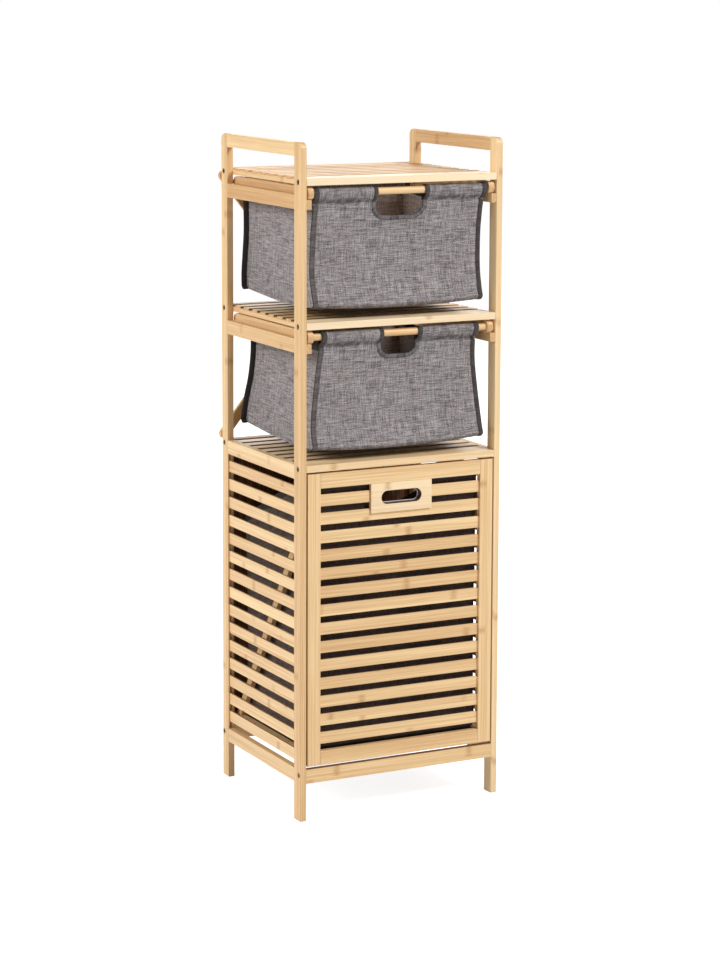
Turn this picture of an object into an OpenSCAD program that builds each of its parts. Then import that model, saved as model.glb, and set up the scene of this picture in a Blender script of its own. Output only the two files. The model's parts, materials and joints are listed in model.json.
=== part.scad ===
/* [Frame] */
// Width of the tower across its posts
frame_w = 400; // [340:1:520]
// Depth of the tower over its posts
frame_d = 330; // [290:1:420]
// Height of the posts
frame_h = 1200; // [1080:1:1400]
// Thickness of a post, seen from the front
post_t = 12; // [10:0.5:18]
// Width of a post, seen from the side
post_w = 25; // [20:0.5:40]
// Rounding of the outer top corner of a post
post_round = 12; // [3:0.5:16]
// Clear height of the legs under the bottom rails
leg_h = 68; // [40:1:90]
// Height of every side rail and bottom rail
rail_h = 25.5; // [20:0.5:34]
// Height of the rail that serves as a carrying handle
handle_h = 24; // [18:0.5:34]
// Thickness of the bottom rails that run across
cross_rail_t = 12; // [8:0.5:16]

/* [Shelves] */
// Height of the hand gap between the top shelf and the handle rails
handle_gap = 38; // [30:1:80]
// Distance from one shelf to the next
shelf_pitch = 250; // [246:1:262]
// Thickness of a shelf
shelf_t = 12.5; // [11:0.5:18]
// Width of the front board of a shelf
front_board_w = 49.5; // [30:0.5:60]
// Width of the back board of a shelf
back_board_w = 20.5; // [18:0.5:40]
// Number of slats between the two boards of a shelf
shelf_slats = 7; // [4:1:8]
// Width of a shelf slat
shelf_slat_w = 22; // [14:0.5:23]
// Thickness of a shelf slat
shelf_slat_t = 4.5; // [3:0.5:6]
// Width of the batten that carries the ends of the shelf slats
batten_w = 8; // [6:0.5:14]

/* [Side slats] */
// Number of slats on each side of the cabinet
side_slats = 15; // [8:1:17]
// Height of a side slat or a door slat
slat_h = 21; // [12:0.5:24]
// Thickness of a side slat or a door slat
slat_t = 4.3; // [3:0.1:5]
// How far the side slats lie behind the outer face of the posts
side_recess = 3; // [1.5:0.5:4]
// Depth of the groove that holds the slat ends
groove_depth = 6; // [4:0.5:8]
// Clearance of a slat in its groove, both faces together
groove_clear = 0.2; // [0.1:0.05:0.6]
// Thickness of the back panel
panel_t = 4; // [3:0.5:5]
// Distance from the back of the posts to the back panel
panel_inset = 4; // [3:0.5:6]

/* [Door] */
// Gap between the door and the posts
door_side_gap = 2.5; // [1.5:0.5:5]
// Gap between the door and the cabinet shelf above it
door_top_gap = 3; // [2:0.5:6]
// Gap between the door and the bottom rail
door_bottom_gap = 5; // [4:0.5:9]
// Thickness of the door frame
door_t = 12; // [10:0.5:14]
// Width of an upright of the door frame
stile_w = 25.5; // [20:0.5:36]
// Height of the upper rail of the door frame
door_top_h = 26.5; // [20:0.5:36]
// Height of the lower rail of the door frame
door_bottom_h = 25.5; // [22:0.5:36]
// Number of slats in the door
door_slats = 14; // [7:1:15]
// How far the door slats lie behind the front of the door
door_recess = 4.5; // [3:0.5:6]
// Width of the handle plate
plate_w = 122; // [100:1:180]
// Height of the handle plate
plate_h = 53; // [46:1:62]
// How far the handle plate lies behind the front of the door
plate_recess = 0.5; // [0:0.5:1.5]
// Width of the hand hole in the handle plate
hole_w = 80; // [60:1:94]
// Height of the hand hole in the handle plate
hole_h = 24; // [18:1:28]
// Diameter of the pivot pins
pin_d = 5; // [4:0.5:6]
// Height of the pivot above the lower edge of the door
pivot_up = 12.5; // [10:0.5:16]

/* [Hamper] */
// Width of a cradle stick, seen from the front
stick_t = 10; // [7:0.5:12]
// Height of a cradle stick
stick_h = 16; // [12:0.5:22]
// Height of the underside of the bottom sticks above the door's lower edge
stick_up = 3.5; // [2:0.5:8]
// Distance from the back end of the bottom sticks to the back of the posts
cradle_back_gap = 13; // [11:1:60]
// Distance from the top of a diagonal to the top of the door
diagonal_drop = 36.5; // [30:0.5:120]
// Thickness of the board under the bag
cradle_board_t = 6; // [4:0.5:7]
// Thickness of the bag's cloth
bag_t = 3; // [2:0.5:4]
// Gap between the bag and the cradle sticks
bag_side_gap = 9; // [1:0.5:16]
// Distance from the bag's front edge to the top of the door
bag_top_gap = 17.5; // [16:0.5:30]
// How much lower the bag's edge is halfway to the back
bag_mid_drop = 48; // [20:1:60]
// How much lower the bag's edge is at the back
bag_back_drop = 112; // [80:1:180]

/* [Baskets] */
// Height of a runner
runner_h = 16.5; // [12:0.5:24]
// Width of a runner
runner_w = 10; // [8:0.5:14]
// Height of the side bar of a basket
bar_h = 21.5; // [18:0.5:24]
// Thickness of the side bar of a basket
bar_t = 11.5; // [10:0.5:16]
// Distance from the back end of a side bar to the back of the posts
bar_back_gap = 18; // [6:1:60]
// Gap between a side bar and the shelf above it
bar_top_gap = 3; // [2:0.5:6]
// Gap between a side bar and the posts
bar_side_gap = 3.5; // [1:0.5:4]
// Diameter of the rods that carry the cloth
rod_d = 13; // [10:0.5:14]
// Distance from the end of a side bar to the rod
rod_inset = 11.5; // [10:0.5:16]
// Thickness of the basket cloth
cloth_t = 2.2; // [2:0.1:3]
// Clearance of a rod in its cloth sleeve, all round
sleeve_clear = 0.3; // [0.2:0.1:1]
// Gap between the bottom of a basket and the shelf under it
basket_floor_gap = 20.5; // [6:0.5:60]
// Gap between the upper basket's cloth and its side bars, at the rods
upper_cloth_gap = 4; // [3:0.5:20]
// Gap between the lower basket's cloth and its side bars, at the rods
lower_cloth_gap = 18; // [3:0.5:24]
// Gap between the cloth and the side bars at the bottom, seen from above
base_cloth_gap = 6; // [1:0.5:20]
// How far the upper basket's front wall is drawn in behind its sleeve
upper_front_draw = 24; // [0:0.5:30]
// How far the upper basket's back wall is drawn in before its sleeve
upper_back_draw = 12; // [0:0.5:30]
// How far the lower basket's front wall is drawn in behind its sleeve
lower_front_draw = 22; // [0:0.5:30]
// How far the lower basket's back wall is drawn in before its sleeve
lower_back_draw = 19; // [0:0.5:30]
// Distance from a rod down to the seam of its sleeve
seam_drop = 19; // [15:0.5:30]
// Width of the bound seams that stand out beside the side walls
seam_w = 10; // [4:0.5:14]
// Width of the hand hole in the upper basket
upper_hole_w = 95; // [70:1:115]
// Width of the hand hole in the lower basket
lower_hole_w = 70; // [50:1:90]
// Depth of the hand hole in the upper basket, below its rod
upper_hole_drop = 45; // [34:1:70]
// Depth of the hand hole in the lower basket, below its rod
lower_hole_drop = 40; // [34:1:70]
// Thickness of the stiffening board in the bottom of a basket
base_board_t = 2.5; // [1.5:0.5:4]

/* [Back brace] */
// Width of a brace board
brace_w = 19; // [14:0.5:24]
// Thickness of a brace board
brace_t = 8; // [6:0.5:10]
// Height of the top shelf above the upper ends of the brace
brace_top_drop = 16; // [12:1:100]
// Height of the lower ends of the brace above the cabinet shelf
brace_low_up = 8; // [8:1:60]

/* [Fasteners] */
// Diameter of the head of a frame bolt
bolt_head_d = 9; // [8:0.5:10]
// Height of the head of a frame bolt
bolt_head_h = 3.5; // [3:0.5:5]
// Diameter of the shank of a frame bolt
bolt_d = 6; // [4:0.5:6]
// Length of the shank of a frame bolt
bolt_l = 40; // [24:1:46]
// Distance from the face of a board to its bolt
bolt_inset = 10; // [8:0.5:14]
// Diameter of the dowels that join rails and posts
dowel_d = 6; // [4:0.5:8]
// Depth of a dowel in a post
dowel_in_post = 10; // [6:0.5:11]
// Depth of a dowel in a rail
dowel_in_rail = 15; // [10:1:30]
// Diameter of a brace screw
screw_d = 3.5; // [3:0.5:4]
// Length of a brace screw below its head
screw_l = 20; // [14:1:24]
// Radial clearance of bolts, dowels and screws in their holes
hole_clear = 0.1; // [0.05:0.05:0.2]
// Radial clearance of a pivot pin in the post
pin_clear = 0.08; // [0.02:0.01:0.1]

/* [Hidden] */

bamboo = [0.92, 0.79, 0.62];
bamboo_light = [0.96, 0.86, 0.71];
panel_brown = [0.16, 0.10, 0.07];
cloth_grey = [0.55, 0.53, 0.53];
bag_grey = [0.27, 0.24, 0.24];
steel = [0.72, 0.72, 0.74];
plastic_white = [0.9, 0.9, 0.88];

$fn = 48;
eps = 0.01;

// Planes of the tower, with the origin on the floor under the middle of its whole depth
total_d = frame_d + brace_t;
y_front = -total_d / 2;
y_back = y_front + frame_d;
x_out = frame_w / 2;
x_in = x_out - post_t;
y_in_front = y_front + post_w;
y_in_back = y_back - post_w;
x_post_mid = x_out - post_t / 2;

// Heights of the shelves and rails
top_shelf_z = frame_h - handle_h - handle_gap;
middle_shelf_z = top_shelf_z - shelf_pitch;
cabinet_shelf_z = middle_shelf_z - shelf_pitch;
under_shelf = shelf_t + bar_top_gap + bar_h + runner_h;
upper_rail_z = top_shelf_z - under_shelf;
middle_rail_z = middle_shelf_z - under_shelf;
cabinet_rail_z = cabinet_shelf_z - rail_h;
rail_top_z = leg_h + rail_h;
rail_levels = [leg_h, cabinet_rail_z, middle_rail_z, upper_rail_z];
shelf_levels = [cabinet_shelf_z, middle_shelf_z, top_shelf_z];
lower_bolt_z = leg_h + rail_h * 0.62;
lower_bolt_inset = cross_rail_t / 2;

// Pattern of the shelf slats
slat_room = frame_d - front_board_w - back_board_w;
shelf_gap = (slat_room - shelf_slats * shelf_slat_w) / (shelf_slats + 1);

// Grooves and slats of the cabinet sides
groove_w = slat_t + groove_clear;
x_groove = x_out - side_recess + groove_clear / 2;
side_room = cabinet_rail_z - rail_top_z;
side_gap = (side_room - side_slats * slat_h) / (side_slats + 1);
tongue = groove_depth - groove_clear;
y_panel = y_back - panel_inset - panel_t;

// Planes of the door
door_x = x_in - door_side_gap;
stile_in = door_x - stile_w;
door_z0 = rail_top_z + door_bottom_gap;
door_z1 = cabinet_shelf_z - shelf_t - door_top_gap;
door_y1 = y_front + door_t;
door_open_z0 = door_z0 + door_bottom_h;
door_open_z1 = door_z1 - door_top_h;
door_gap = (door_open_z1 - door_open_z0 - door_slats * slat_h) / (door_slats + 1);
y_slat = y_front + door_recess;
plate_z0 = door_open_z1 - plate_h;
plate_y0 = y_front + plate_recess;
plate_y1 = y_slat + slat_t;
pivot_y = y_front + door_t / 2;
pivot_z = door_z0 + pivot_up;
pin_in_stile = 14;
pin_in_post = 8;

// Planes of the cradle and its bag
stick_x1 = door_x - 7.5;
stick_x0 = stick_x1 - stick_t;
stick_z0 = door_z0 + stick_up;
stick_z1 = stick_z0 + stick_h;
stick_l = frame_d - door_t - cradle_back_gap;
stick_y1 = door_y1 + stick_l;
diagonal_up = door_z1 - diagonal_drop - stick_z1;
cross_stick_w = 16;
cradle_board_z1 = stick_z1 - 2;
cradle_board_z0 = cradle_board_z1 - cradle_board_t;
tape_t = 2;
tape_h = 10;
bag_x = stick_x0 - bag_side_gap;
bag_y0 = door_y1 + tape_t;
bag_y1 = stick_y1 - 2;
bag_z0 = cradle_board_z1;
bag_mid_y = bag_y0 + 0.55 * (bag_y1 - bag_y0);
bag_front_z = door_z1 - bag_top_gap;
strike_t = 1;
strike_w = 40;
strike_h = 10;
catch_gap = 0.3;
catch_w = 46;
catch_d = 12;

// Planes of the baskets
bar_x1 = x_in - bar_side_gap;
bar_x0 = bar_x1 - bar_t;
bar_y0 = y_front + 1;
bar_y1 = y_back - bar_back_gap;
rod_y0 = bar_y0 + rod_inset;
rod_y1 = bar_y1 - rod_inset;
rod_in_bar = 7;
upper_rod_w = 2 * (bar_x0 - upper_cloth_gap);
lower_rod_w = 2 * (bar_x0 - lower_cloth_gap);
basket_base_w = 2 * (bar_x0 - base_cloth_gap);
upper_draws = [upper_front_draw, upper_back_draw];
lower_draws = [lower_front_draw, lower_back_draw];
upper_rod_z = upper_rail_z + runner_h + bar_h / 2;
lower_rod_z = middle_rail_z + runner_h + bar_h / 2;
cloth_drop = upper_rod_z - middle_shelf_z - basket_floor_gap;
runner_l = frame_d - 2;
sleeve_r = rod_d / 2 + sleeve_clear;
sleeve_out = sleeve_r + cloth_t;
wall_y0 = rod_y0 - sleeve_out;
wall_y1 = rod_y1 + sleeve_out;
// Share of the height from the floor to the sleeve's seam, and share of the draw there
front_draw_steps = [[0, 0.28], [0.13, 0.66], [0.33, 0.98], [0.66, 0.96], [0.85, 0.76], [1, 0.5]];
back_draw_steps = [[0, 0.05], [0.17, 0.3], [0.35, 0.65], [0.55, 1], [0.8, 0.97], [1, 0.65]];

// Directions of the brace
brace_top_z = top_shelf_z - brace_top_drop;
brace_low_z = cabinet_shelf_z + brace_low_up;
brace_dz = brace_top_z - brace_low_z;
brace_angle = atan2(brace_dz, 2 * x_post_mid);
brace_len = sqrt(pow(brace_dz, 2) + pow(2 * x_post_mid, 2));
brace_mid_z = (brace_top_z + brace_low_z) / 2;
screw_head_d = screw_d * 2;
screw_head_h = screw_d * 0.8;

// A block between two corners, given as ranges along each axis
module block(x, y, z) {
    translate([x[0], y[0], z[0]])
        cube([x[1] - x[0], y[1] - y[0], z[1] - z[0]]);
}

// Places a piece built on the right side there, or mirrored on the left side
module on_side(side) {
    mirror([side < 0 ? 1 : 0, 0, 0])
        children();
}

// Both copies of a piece built on the right side
module both_sides() {
    for (side = [-1, 1])
        on_side(side)
            children();
}

// A round bar along X that starts at a point
module bar_x(d, l) {
    rotate([0, 90, 0])
        cylinder(d = d, h = l);
}

// A round bar along Y that starts at a point
module bar_y(d, l) {
    rotate([-90, 0, 0])
        cylinder(d = d, h = l);
}

// An outline drawn in Y and Z, extruded along X
module along_x(x0, x1) {
    translate([x0, 0, 0])
        rotate([90, 0, 90])
            linear_extrude(x1 - x0)
                children();
}

// An outline drawn in X and Z, extruded along Y
module along_y(y0, y1) {
    translate([0, y1, 0])
        rotate([90, 0, 0])
            linear_extrude(y1 - y0)
                children();
}

// Places of the frame bolts on the right side: the distance along Y and the height
function bolt_places() = [
    for (z = shelf_levels, y = [y_front + bolt_inset, y_back - bolt_inset]) [y, z - shelf_t / 2],
    for (y = [y_front + lower_bolt_inset, y_back - lower_bolt_inset]) [y, lower_bolt_z]
];

// Bolt holes through the right posts and into the ends of the boards
module bolt_holes() {
    head_d = bolt_head_d + 1;
    for (p = bolt_places()) {
        translate([x_out - bolt_head_h - 0.5, p[0], p[1]])
            bar_x(head_d, bolt_head_h + 1);
        translate([x_out - bolt_head_h - bolt_l - 1, p[0], p[1]])
            bar_x(bolt_d + 2 * hole_clear, bolt_l + 2);
    }
}

// Dowel holes in both ends of the rails on the right side
module dowel_holes(z_mid) {
    translate([x_post_mid, y_in_front - dowel_in_post - 0.5, z_mid])
        bar_y(dowel_d + 2 * hole_clear, dowel_in_post + dowel_in_rail + 1);
    translate([x_post_mid, y_in_back - dowel_in_rail - 0.5, z_mid])
        bar_y(dowel_d + 2 * hole_clear, dowel_in_post + dowel_in_rail + 1);
}

function dowel_heights() = [
    for (z = rail_levels) z + rail_h / 2,
    frame_h - handle_h / 2
];

// Side outline of a post with its outer top corner rounded
module post_outline(front) {
    y0 = front ? y_front : y_in_back;
    y_arc = front ? y_front + post_round : y_back - post_round;
    y_flat = front ? y_arc : y_in_back;
    translate([y0, 0])
        square([post_w, frame_h - post_round]);
    translate([y_flat, frame_h - post_round - eps])
        square([post_w - post_round, post_round + eps]);
    translate([y_arc, frame_h - post_round])
        circle(post_round);
}

// The groove for the side slats, cut into a post
module slat_groove(front) {
    y0 = front ? y_in_front - groove_depth : y_in_back - 1;
    block([x_groove - groove_w, x_groove], [y0, y0 + groove_depth + 1], [rail_top_z, cabinet_rail_z]);
}

// The groove for the back panel, cut into a back post
module panel_groove() {
    block([x_in - 1, x_in + groove_depth - 1],
        [y_panel - groove_clear / 2, y_panel + panel_t + groove_clear / 2],
        [rail_top_z, cabinet_shelf_z - shelf_t]);
}

module post(side, front) {
    color(bamboo)
        on_side(side)
            difference() {
                along_x(x_in, x_out)
                    post_outline(front);
                slat_groove(front);
                bolt_holes();
                for (z = dowel_heights())
                    dowel_holes(z);
                if (front)
                    pivot_bore();
                if (!front) {
                    panel_groove();
                    brace_holes();
                }
            }
}

// The bore in a front post that a pivot pin turns in
module pivot_bore() {
    translate([x_in - 1, pivot_y, pivot_z])
        bar_x(pin_d + 2 * pin_clear, pin_in_post + 1.5);
}

// Screw holes for the brace in a back post
module brace_holes() {
    for (z = [brace_low_z, brace_top_z])
        translate([x_post_mid, y_back - screw_l + brace_t - 1, z])
            bar_y(screw_d + 2 * hole_clear, screw_l);
}

// A side rail between two posts
module side_rail(side, z0, h) {
    color(bamboo)
        on_side(side)
            difference() {
                block([x_in, x_out], [y_in_front, y_in_back], [z0, z0 + h]);
                dowel_holes(z0 + h / 2);
            }
}

// A rail or board across the tower, with bolt holes in both ends
module cross_board(y, z) {
    difference() {
        block([-x_in, x_in], y, z);
        both_sides()
            bolt_holes();
    }
}

module bottom_front_rail() {
    color(bamboo)
        cross_board([y_front, y_front + cross_rail_t], [leg_h, rail_top_z]);
}

module bottom_back_rail() {
    color(bamboo)
        cross_board([y_back - cross_rail_t, y_back], [leg_h, rail_top_z]);
}

// The fixed slats of one side of the cabinet
module side_slat_set(side) {
    x1 = x_out - side_recess;
    color(bamboo)
        on_side(side)
            for (i = [1 : side_slats]) {
                z0 = rail_top_z + i * side_gap + (i - 1) * slat_h;
                block([x1 - slat_t, x1], [y_in_front - tongue, y_in_back + tongue], [z0, z0 + slat_h]);
            }
}

module back_panel() {
    reach = x_in + groove_depth - 1 - groove_clear;
    color(panel_brown)
        block([-reach, reach], [y_panel, y_panel + panel_t], [rail_top_z, cabinet_shelf_z - shelf_t]);
}

// The two runners that one basket slides on
module runners(z0) {
    color(bamboo)
        both_sides()
            block([x_in - runner_w, x_in], [y_front + 0.5, y_front + 0.5 + runner_l], [z0, z0 + runner_h]);
}

module shelf_front_board(z1) {
    color(bamboo_light)
        cross_board([y_front, y_front + front_board_w], [z1 - shelf_t, z1]);
}

module shelf_back_board(z1) {
    color(bamboo_light)
        cross_board([y_back - back_board_w, y_back], [z1 - shelf_t, z1]);
}

// The slats of one shelf, each as a block; grow widens them to cut their notches
module shelf_slat_blocks(z1, grow) {
    for (i = [1 : shelf_slats]) {
        y0 = y_front + front_board_w + i * shelf_gap + (i - 1) * shelf_slat_w;
        block([-x_in, x_in], [y0 - grow, y0 + shelf_slat_w + grow], [z1 - shelf_slat_t, z1 + grow]);
    }
}

module shelf_slat_set(z1) {
    color(bamboo_light)
        shelf_slat_blocks(z1, 0);
}

// The battens under the slat ends, notched for each slat
module shelf_battens() {
    color(bamboo)
        both_sides()
            for (z1 = shelf_levels)
                difference() {
                    block([x_in - batten_w, x_in],
                        [y_front + front_board_w, y_back - back_board_w], [z1 - shelf_t, z1]);
                    shelf_slat_blocks(z1, groove_clear / 2);
                }
}

// One brace board with round ends, lying along X before it is turned
module brace_blank(depth) {
    translate([0, y_back + depth, 0])
        rotate([-90, 0, 0]) {
            translate([-brace_len / 2, -brace_w / 2, 0])
                cube([brace_len, brace_w, brace_t - depth]);
            for (side = [-1, 1])
                translate([side * brace_len / 2, 0, 0])
                    cylinder(d = brace_w, h = brace_t - depth);
        }
}

// A brace board, half lapped where it crosses the other one
module brace_board(rise) {
    lap = brace_w + 2 * hole_clear;
    cut_y = rise > 0 ? y_back - 1 : y_back + brace_t / 2;
    color(bamboo)
        translate([0, 0, brace_mid_z])
            difference() {
                rotate([0, -rise * brace_angle, 0])
                    brace_blank(0);
                rotate([0, rise * brace_angle, 0])
                    block([-brace_w * 2, brace_w * 2], [cut_y, cut_y + brace_t / 2 + 1], [-lap / 2, lap / 2]);
                for (side = [-1, 1])
                    translate([side * x_post_mid, 0, side * rise * brace_dz / 2])
                        brace_screw_hole();
            }
}

// The clearance hole of one brace screw, with a seat for its countersunk head
module brace_screw_hole() {
    translate([0, y_back - 1, 0])
        bar_y(screw_d + 2 * hole_clear, brace_t + 2);
    translate([0, y_back + brace_t - screw_head_h - hole_clear, 0])
        rotate([-90, 0, 0])
            cylinder(d1 = screw_d + 2 * hole_clear, d2 = screw_head_d + 3 * hole_clear,
                h = screw_head_h + 2 * hole_clear);
}

module brace_screws() {
    color(steel)
        for (side = [-1, 1], z = [brace_low_z, brace_top_z])
            translate([side * x_post_mid, y_back + brace_t, z]) {
                translate([0, -screw_l, 0])
                    bar_y(screw_d, screw_l - screw_head_h / 2);
                translate([0, -screw_head_h, 0])
                    rotate([-90, 0, 0])
                        cylinder(d1 = screw_d, d2 = screw_head_d, h = screw_head_h - 0.1);
            }
}

// The bolts that hold the shelves and bottom rails between the side frames
module frame_bolts() {
    socket = bolt_head_d * 0.5;
    color(steel)
        both_sides()
            for (p = bolt_places())
                translate([x_out - 0.4, p[0], p[1]])
                    difference() {
                        union() {
                            translate([-bolt_head_h, 0, 0])
                                bar_x(bolt_head_d, bolt_head_h);
                            translate([-bolt_head_h - bolt_l, 0, 0])
                                bar_x(bolt_d, bolt_l + 1);
                        }
                        translate([-bolt_head_h * 0.6, 0, 0])
                            rotate([0, 90, 0])
                                cylinder(d = socket, h = bolt_head_h, $fn = 6);
                    }
}

module rail_dowels() {
    color(bamboo_light)
        both_sides()
            for (z = dowel_heights()) {
                translate([x_post_mid, y_in_front - dowel_in_post, z])
                    bar_y(dowel_d, dowel_in_post + dowel_in_rail);
                translate([x_post_mid, y_in_back - dowel_in_rail, z])
                    bar_y(dowel_d, dowel_in_post + dowel_in_rail);
            }
}

// The magnet that holds the door shut, fixed under the cabinet shelf
module magnet_catch() {
    y0 = door_y1 + strike_t + catch_gap;
    z1 = cabinet_shelf_z - shelf_t;
    color(plastic_white)
        block([-catch_w / 2, catch_w / 2], [y0, y0 + catch_d], [door_z1 - strike_h - 1, z1]);
}

// An upright of the door with the groove for the door slats and the hole for the pivot pin
module door_stile(side) {
    color(bamboo)
        on_side(side)
            difference() {
                block([stile_in, door_x], [y_front, door_y1], [door_z0, door_z1]);
                block([stile_in - 1, stile_in + groove_depth],
                    [y_slat - groove_clear / 2, y_slat + slat_t + groove_clear / 2],
                    [door_open_z0, door_open_z1]);
                translate([door_x - pin_in_stile - 0.5, pivot_y, pivot_z])
                    bar_x(pin_d + 2 * hole_clear, pin_in_stile + 1);
            }
}

module door_top_rail() {
    color(bamboo)
        block([-stile_in, stile_in], [y_front, door_y1], [door_open_z1, door_z1]);
}

module door_bottom_rail() {
    color(bamboo)
        block([-stile_in, stile_in], [y_front, door_y1], [door_z0, door_open_z0]);
}

// The slats of the door, with the first one cut away where the handle plate sits
module door_slat_set() {
    reach = stile_in + groove_depth - groove_clear;
    color(bamboo)
        for (i = [1 : door_slats]) {
            z1 = door_open_z1 - i * door_gap - (i - 1) * slat_h;
            if (z1 - slat_h > plate_z0)
                both_sides()
                    block([plate_w / 2 + groove_clear, reach], [y_slat, y_slat + slat_t], [z1 - slat_h, z1]);
            else
                block([-reach, reach], [y_slat, y_slat + slat_t], [z1 - slat_h, z1]);
        }
}

// The handle plate, rebated at the back where it laps a whole slat, with a round-ended hole
module handle_plate() {
    hole_z = plate_z0 + plate_h / 2;
    color(bamboo_light)
        difference() {
            block([-plate_w / 2, plate_w / 2], [plate_y0, plate_y1], [plate_z0, door_open_z1]);
            for (i = [1 : door_slats]) {
                z1 = door_open_z1 - i * door_gap - (i - 1) * slat_h;
                if (z1 - slat_h <= plate_z0)
                    block([-plate_w, plate_w], [y_slat - groove_clear, y_slat + slat_t + 1],
                        [z1 - slat_h - 1, z1 + groove_clear]);
            }
            along_y(plate_y0 - 1, plate_y1 + 1) {
                for (side = [-1, 1])
                    translate([side * (hole_w - hole_h) / 2, hole_z])
                        circle(d = hole_h);
                translate([-(hole_w - hole_h) / 2, hole_z - hole_h / 2])
                    square([hole_w - hole_h, hole_h]);
            }
        }
}

module strike_plate() {
    color(steel)
        block([-strike_w / 2, strike_w / 2], [door_y1, door_y1 + strike_t],
            [door_z1 - strike_h - 1, door_z1 - 1]);
}

module pivot_pins() {
    color(steel)
        both_sides()
            translate([door_x - pin_in_stile, pivot_y, pivot_z])
                bar_x(pin_d, pin_in_stile + door_side_gap + pin_in_post);
}

module cradle_bottom_sticks() {
    color(bamboo)
        both_sides()
            block([stick_x0, stick_x1], [door_y1, stick_y1], [stick_z0, stick_z1]);
}

// A diagonal from the back of the door down to the far end of a bottom stick
module cradle_diagonals() {
    rise_y = stick_l;
    slope = atan2(diagonal_up, rise_y);
    cut_y = stick_h / sin(slope);
    cut_z = stick_h / cos(slope);
    color(bamboo)
        both_sides()
            along_x(stick_x0, stick_x1)
                polygon([
                    [stick_y1, stick_z1],
                    [door_y1, stick_z1 + diagonal_up],
                    [door_y1, stick_z1 + diagonal_up - cut_z],
                    [stick_y1 - cut_y, stick_z1]
                ]);
}

// Sticks across the cradle, under its board
module cradle_cross_sticks() {
    color(bamboo)
        for (y0 = [door_y1 + 2, stick_y1 - cross_stick_w])
            block([-stick_x0, stick_x0], [y0, y0 + cross_stick_w], [stick_z0, cradle_board_z0]);
}

module cradle_board() {
    color(bamboo)
        block([-stick_x0, stick_x0], [door_y1 + 2, stick_y1], [cradle_board_z0, cradle_board_z1]);
}

// The hook and loop strip that holds the bag to the door
module bag_tape() {
    z0 = bag_front_z - tape_h - 3;
    color(bag_grey)
        block([-bag_x + 20, bag_x - 20], [door_y1, door_y1 + tape_t], [z0, z0 + tape_h]);
}

// Side outline of the bag, drawn in by an inset all round except at its mouth
module bag_outline(inset, mouth) {
    polygon([
        [bag_y0 + inset, bag_z0 + inset],
        [bag_y1 - inset, bag_z0 + inset],
        [bag_y1 - inset, bag_front_z - bag_back_drop + mouth],
        [bag_mid_y, bag_front_z - bag_mid_drop + mouth],
        [bag_y0 + inset, bag_front_z + mouth]
    ]);
}

// The laundry bag, open at its sloping mouth
module laundry_bag() {
    color(bag_grey)
        difference() {
            along_x(-bag_x, bag_x)
                bag_outline(0, 0);
            along_x(-bag_x + bag_t, bag_x - bag_t)
                bag_outline(bag_t, 30);
        }
}

// The side bars of a basket, round at both ends
module basket_bars(z_mid) {
    r = bar_h / 2;
    color(bamboo_light)
        both_sides()
            difference() {
                along_x(bar_x0, bar_x1) {
                    translate([bar_y0 + r, z_mid - r])
                        square([bar_y1 - bar_y0 - 2 * r, bar_h]);
                    for (y = [bar_y0 + r, bar_y1 - r])
                        translate([y, z_mid])
                            circle(r);
                }
                for (y = [rod_y0, rod_y1])
                    translate([bar_x0 - 1, y, z_mid])
                        bar_x(rod_d + 2 * hole_clear, rod_in_bar + 1.5);
            }
}

module basket_rods(z_mid) {
    reach = bar_x0 + rod_in_bar;
    color(bamboo_light)
        for (y = [rod_y0, rod_y1])
            translate([-reach, y, z_mid])
                bar_x(rod_d, 2 * reach);
}

// Half the width of a basket's cloth at a height
function cloth_half(rod_w, z_mid, z) =
    basket_base_w / 2 + (rod_w - basket_base_w) / 2 * (z - z_mid + cloth_drop) / cloth_drop;

// Points up a basket's front wall, moved inwards by an inset
function front_wall(z_mid, draw, inset) = [
    for (s = front_draw_steps) [wall_y0 + draw * s[1] + inset,
        z_mid - cloth_drop + (cloth_drop - seam_drop) * s[0]]
];

// Points down a basket's back wall, moved inwards by an inset
function back_wall(z_mid, draw, inset) = [
    for (i = [len(back_draw_steps) - 1 : -1 : 0]) [wall_y1 - draw * back_draw_steps[i][1] - inset,
        z_mid - cloth_drop + (cloth_drop - seam_drop) * back_draw_steps[i][0]]
];

// Front outline of a basket: straight or flared sides below the rods
module basket_front(rod_w, z_mid, inset) {
    z0 = z_mid - cloth_drop;
    x0 = basket_base_w / 2 - inset;
    x1 = rod_w / 2 - inset;
    polygon([[-x0, z0], [x0, z0], [x1, z_mid], [-x1, z_mid]]);
}

// Front outline of a basket's inside, open above the seams of the sleeves
module basket_inside_front(rod_w, z_mid) {
    z0 = z_mid - cloth_drop + cloth_t;
    z1 = z_mid - seam_drop;
    z2 = z_mid + sleeve_out + 1;
    inset = seam_w + cloth_t;
    x0 = cloth_half(rod_w, z_mid, z0) - inset;
    x1 = cloth_half(rod_w, z_mid, z1) - inset;
    polygon([
        [-x0, z0], [x0, z0], [x1, z1], [bar_x0, z1],
        [bar_x0, z2], [-bar_x0, z2], [-bar_x0, z1], [-x1, z1]
    ]);
}

// Side outline of a basket: walls drawn in below the sleeves
module basket_side(z_mid, draws, inset, open_up) {
    top = open_up > 0 ? [z_mid, z_mid + open_up] : [z_mid];
    polygon(concat(
        front_wall(z_mid, draws[0], inset),
        [for (z = top) [wall_y0 + inset, z]],
        [for (i = [len(top) - 1 : -1 : 0]) [wall_y1 - inset, top[i]]],
        back_wall(z_mid, draws[1], inset)
    ));
}

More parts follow.
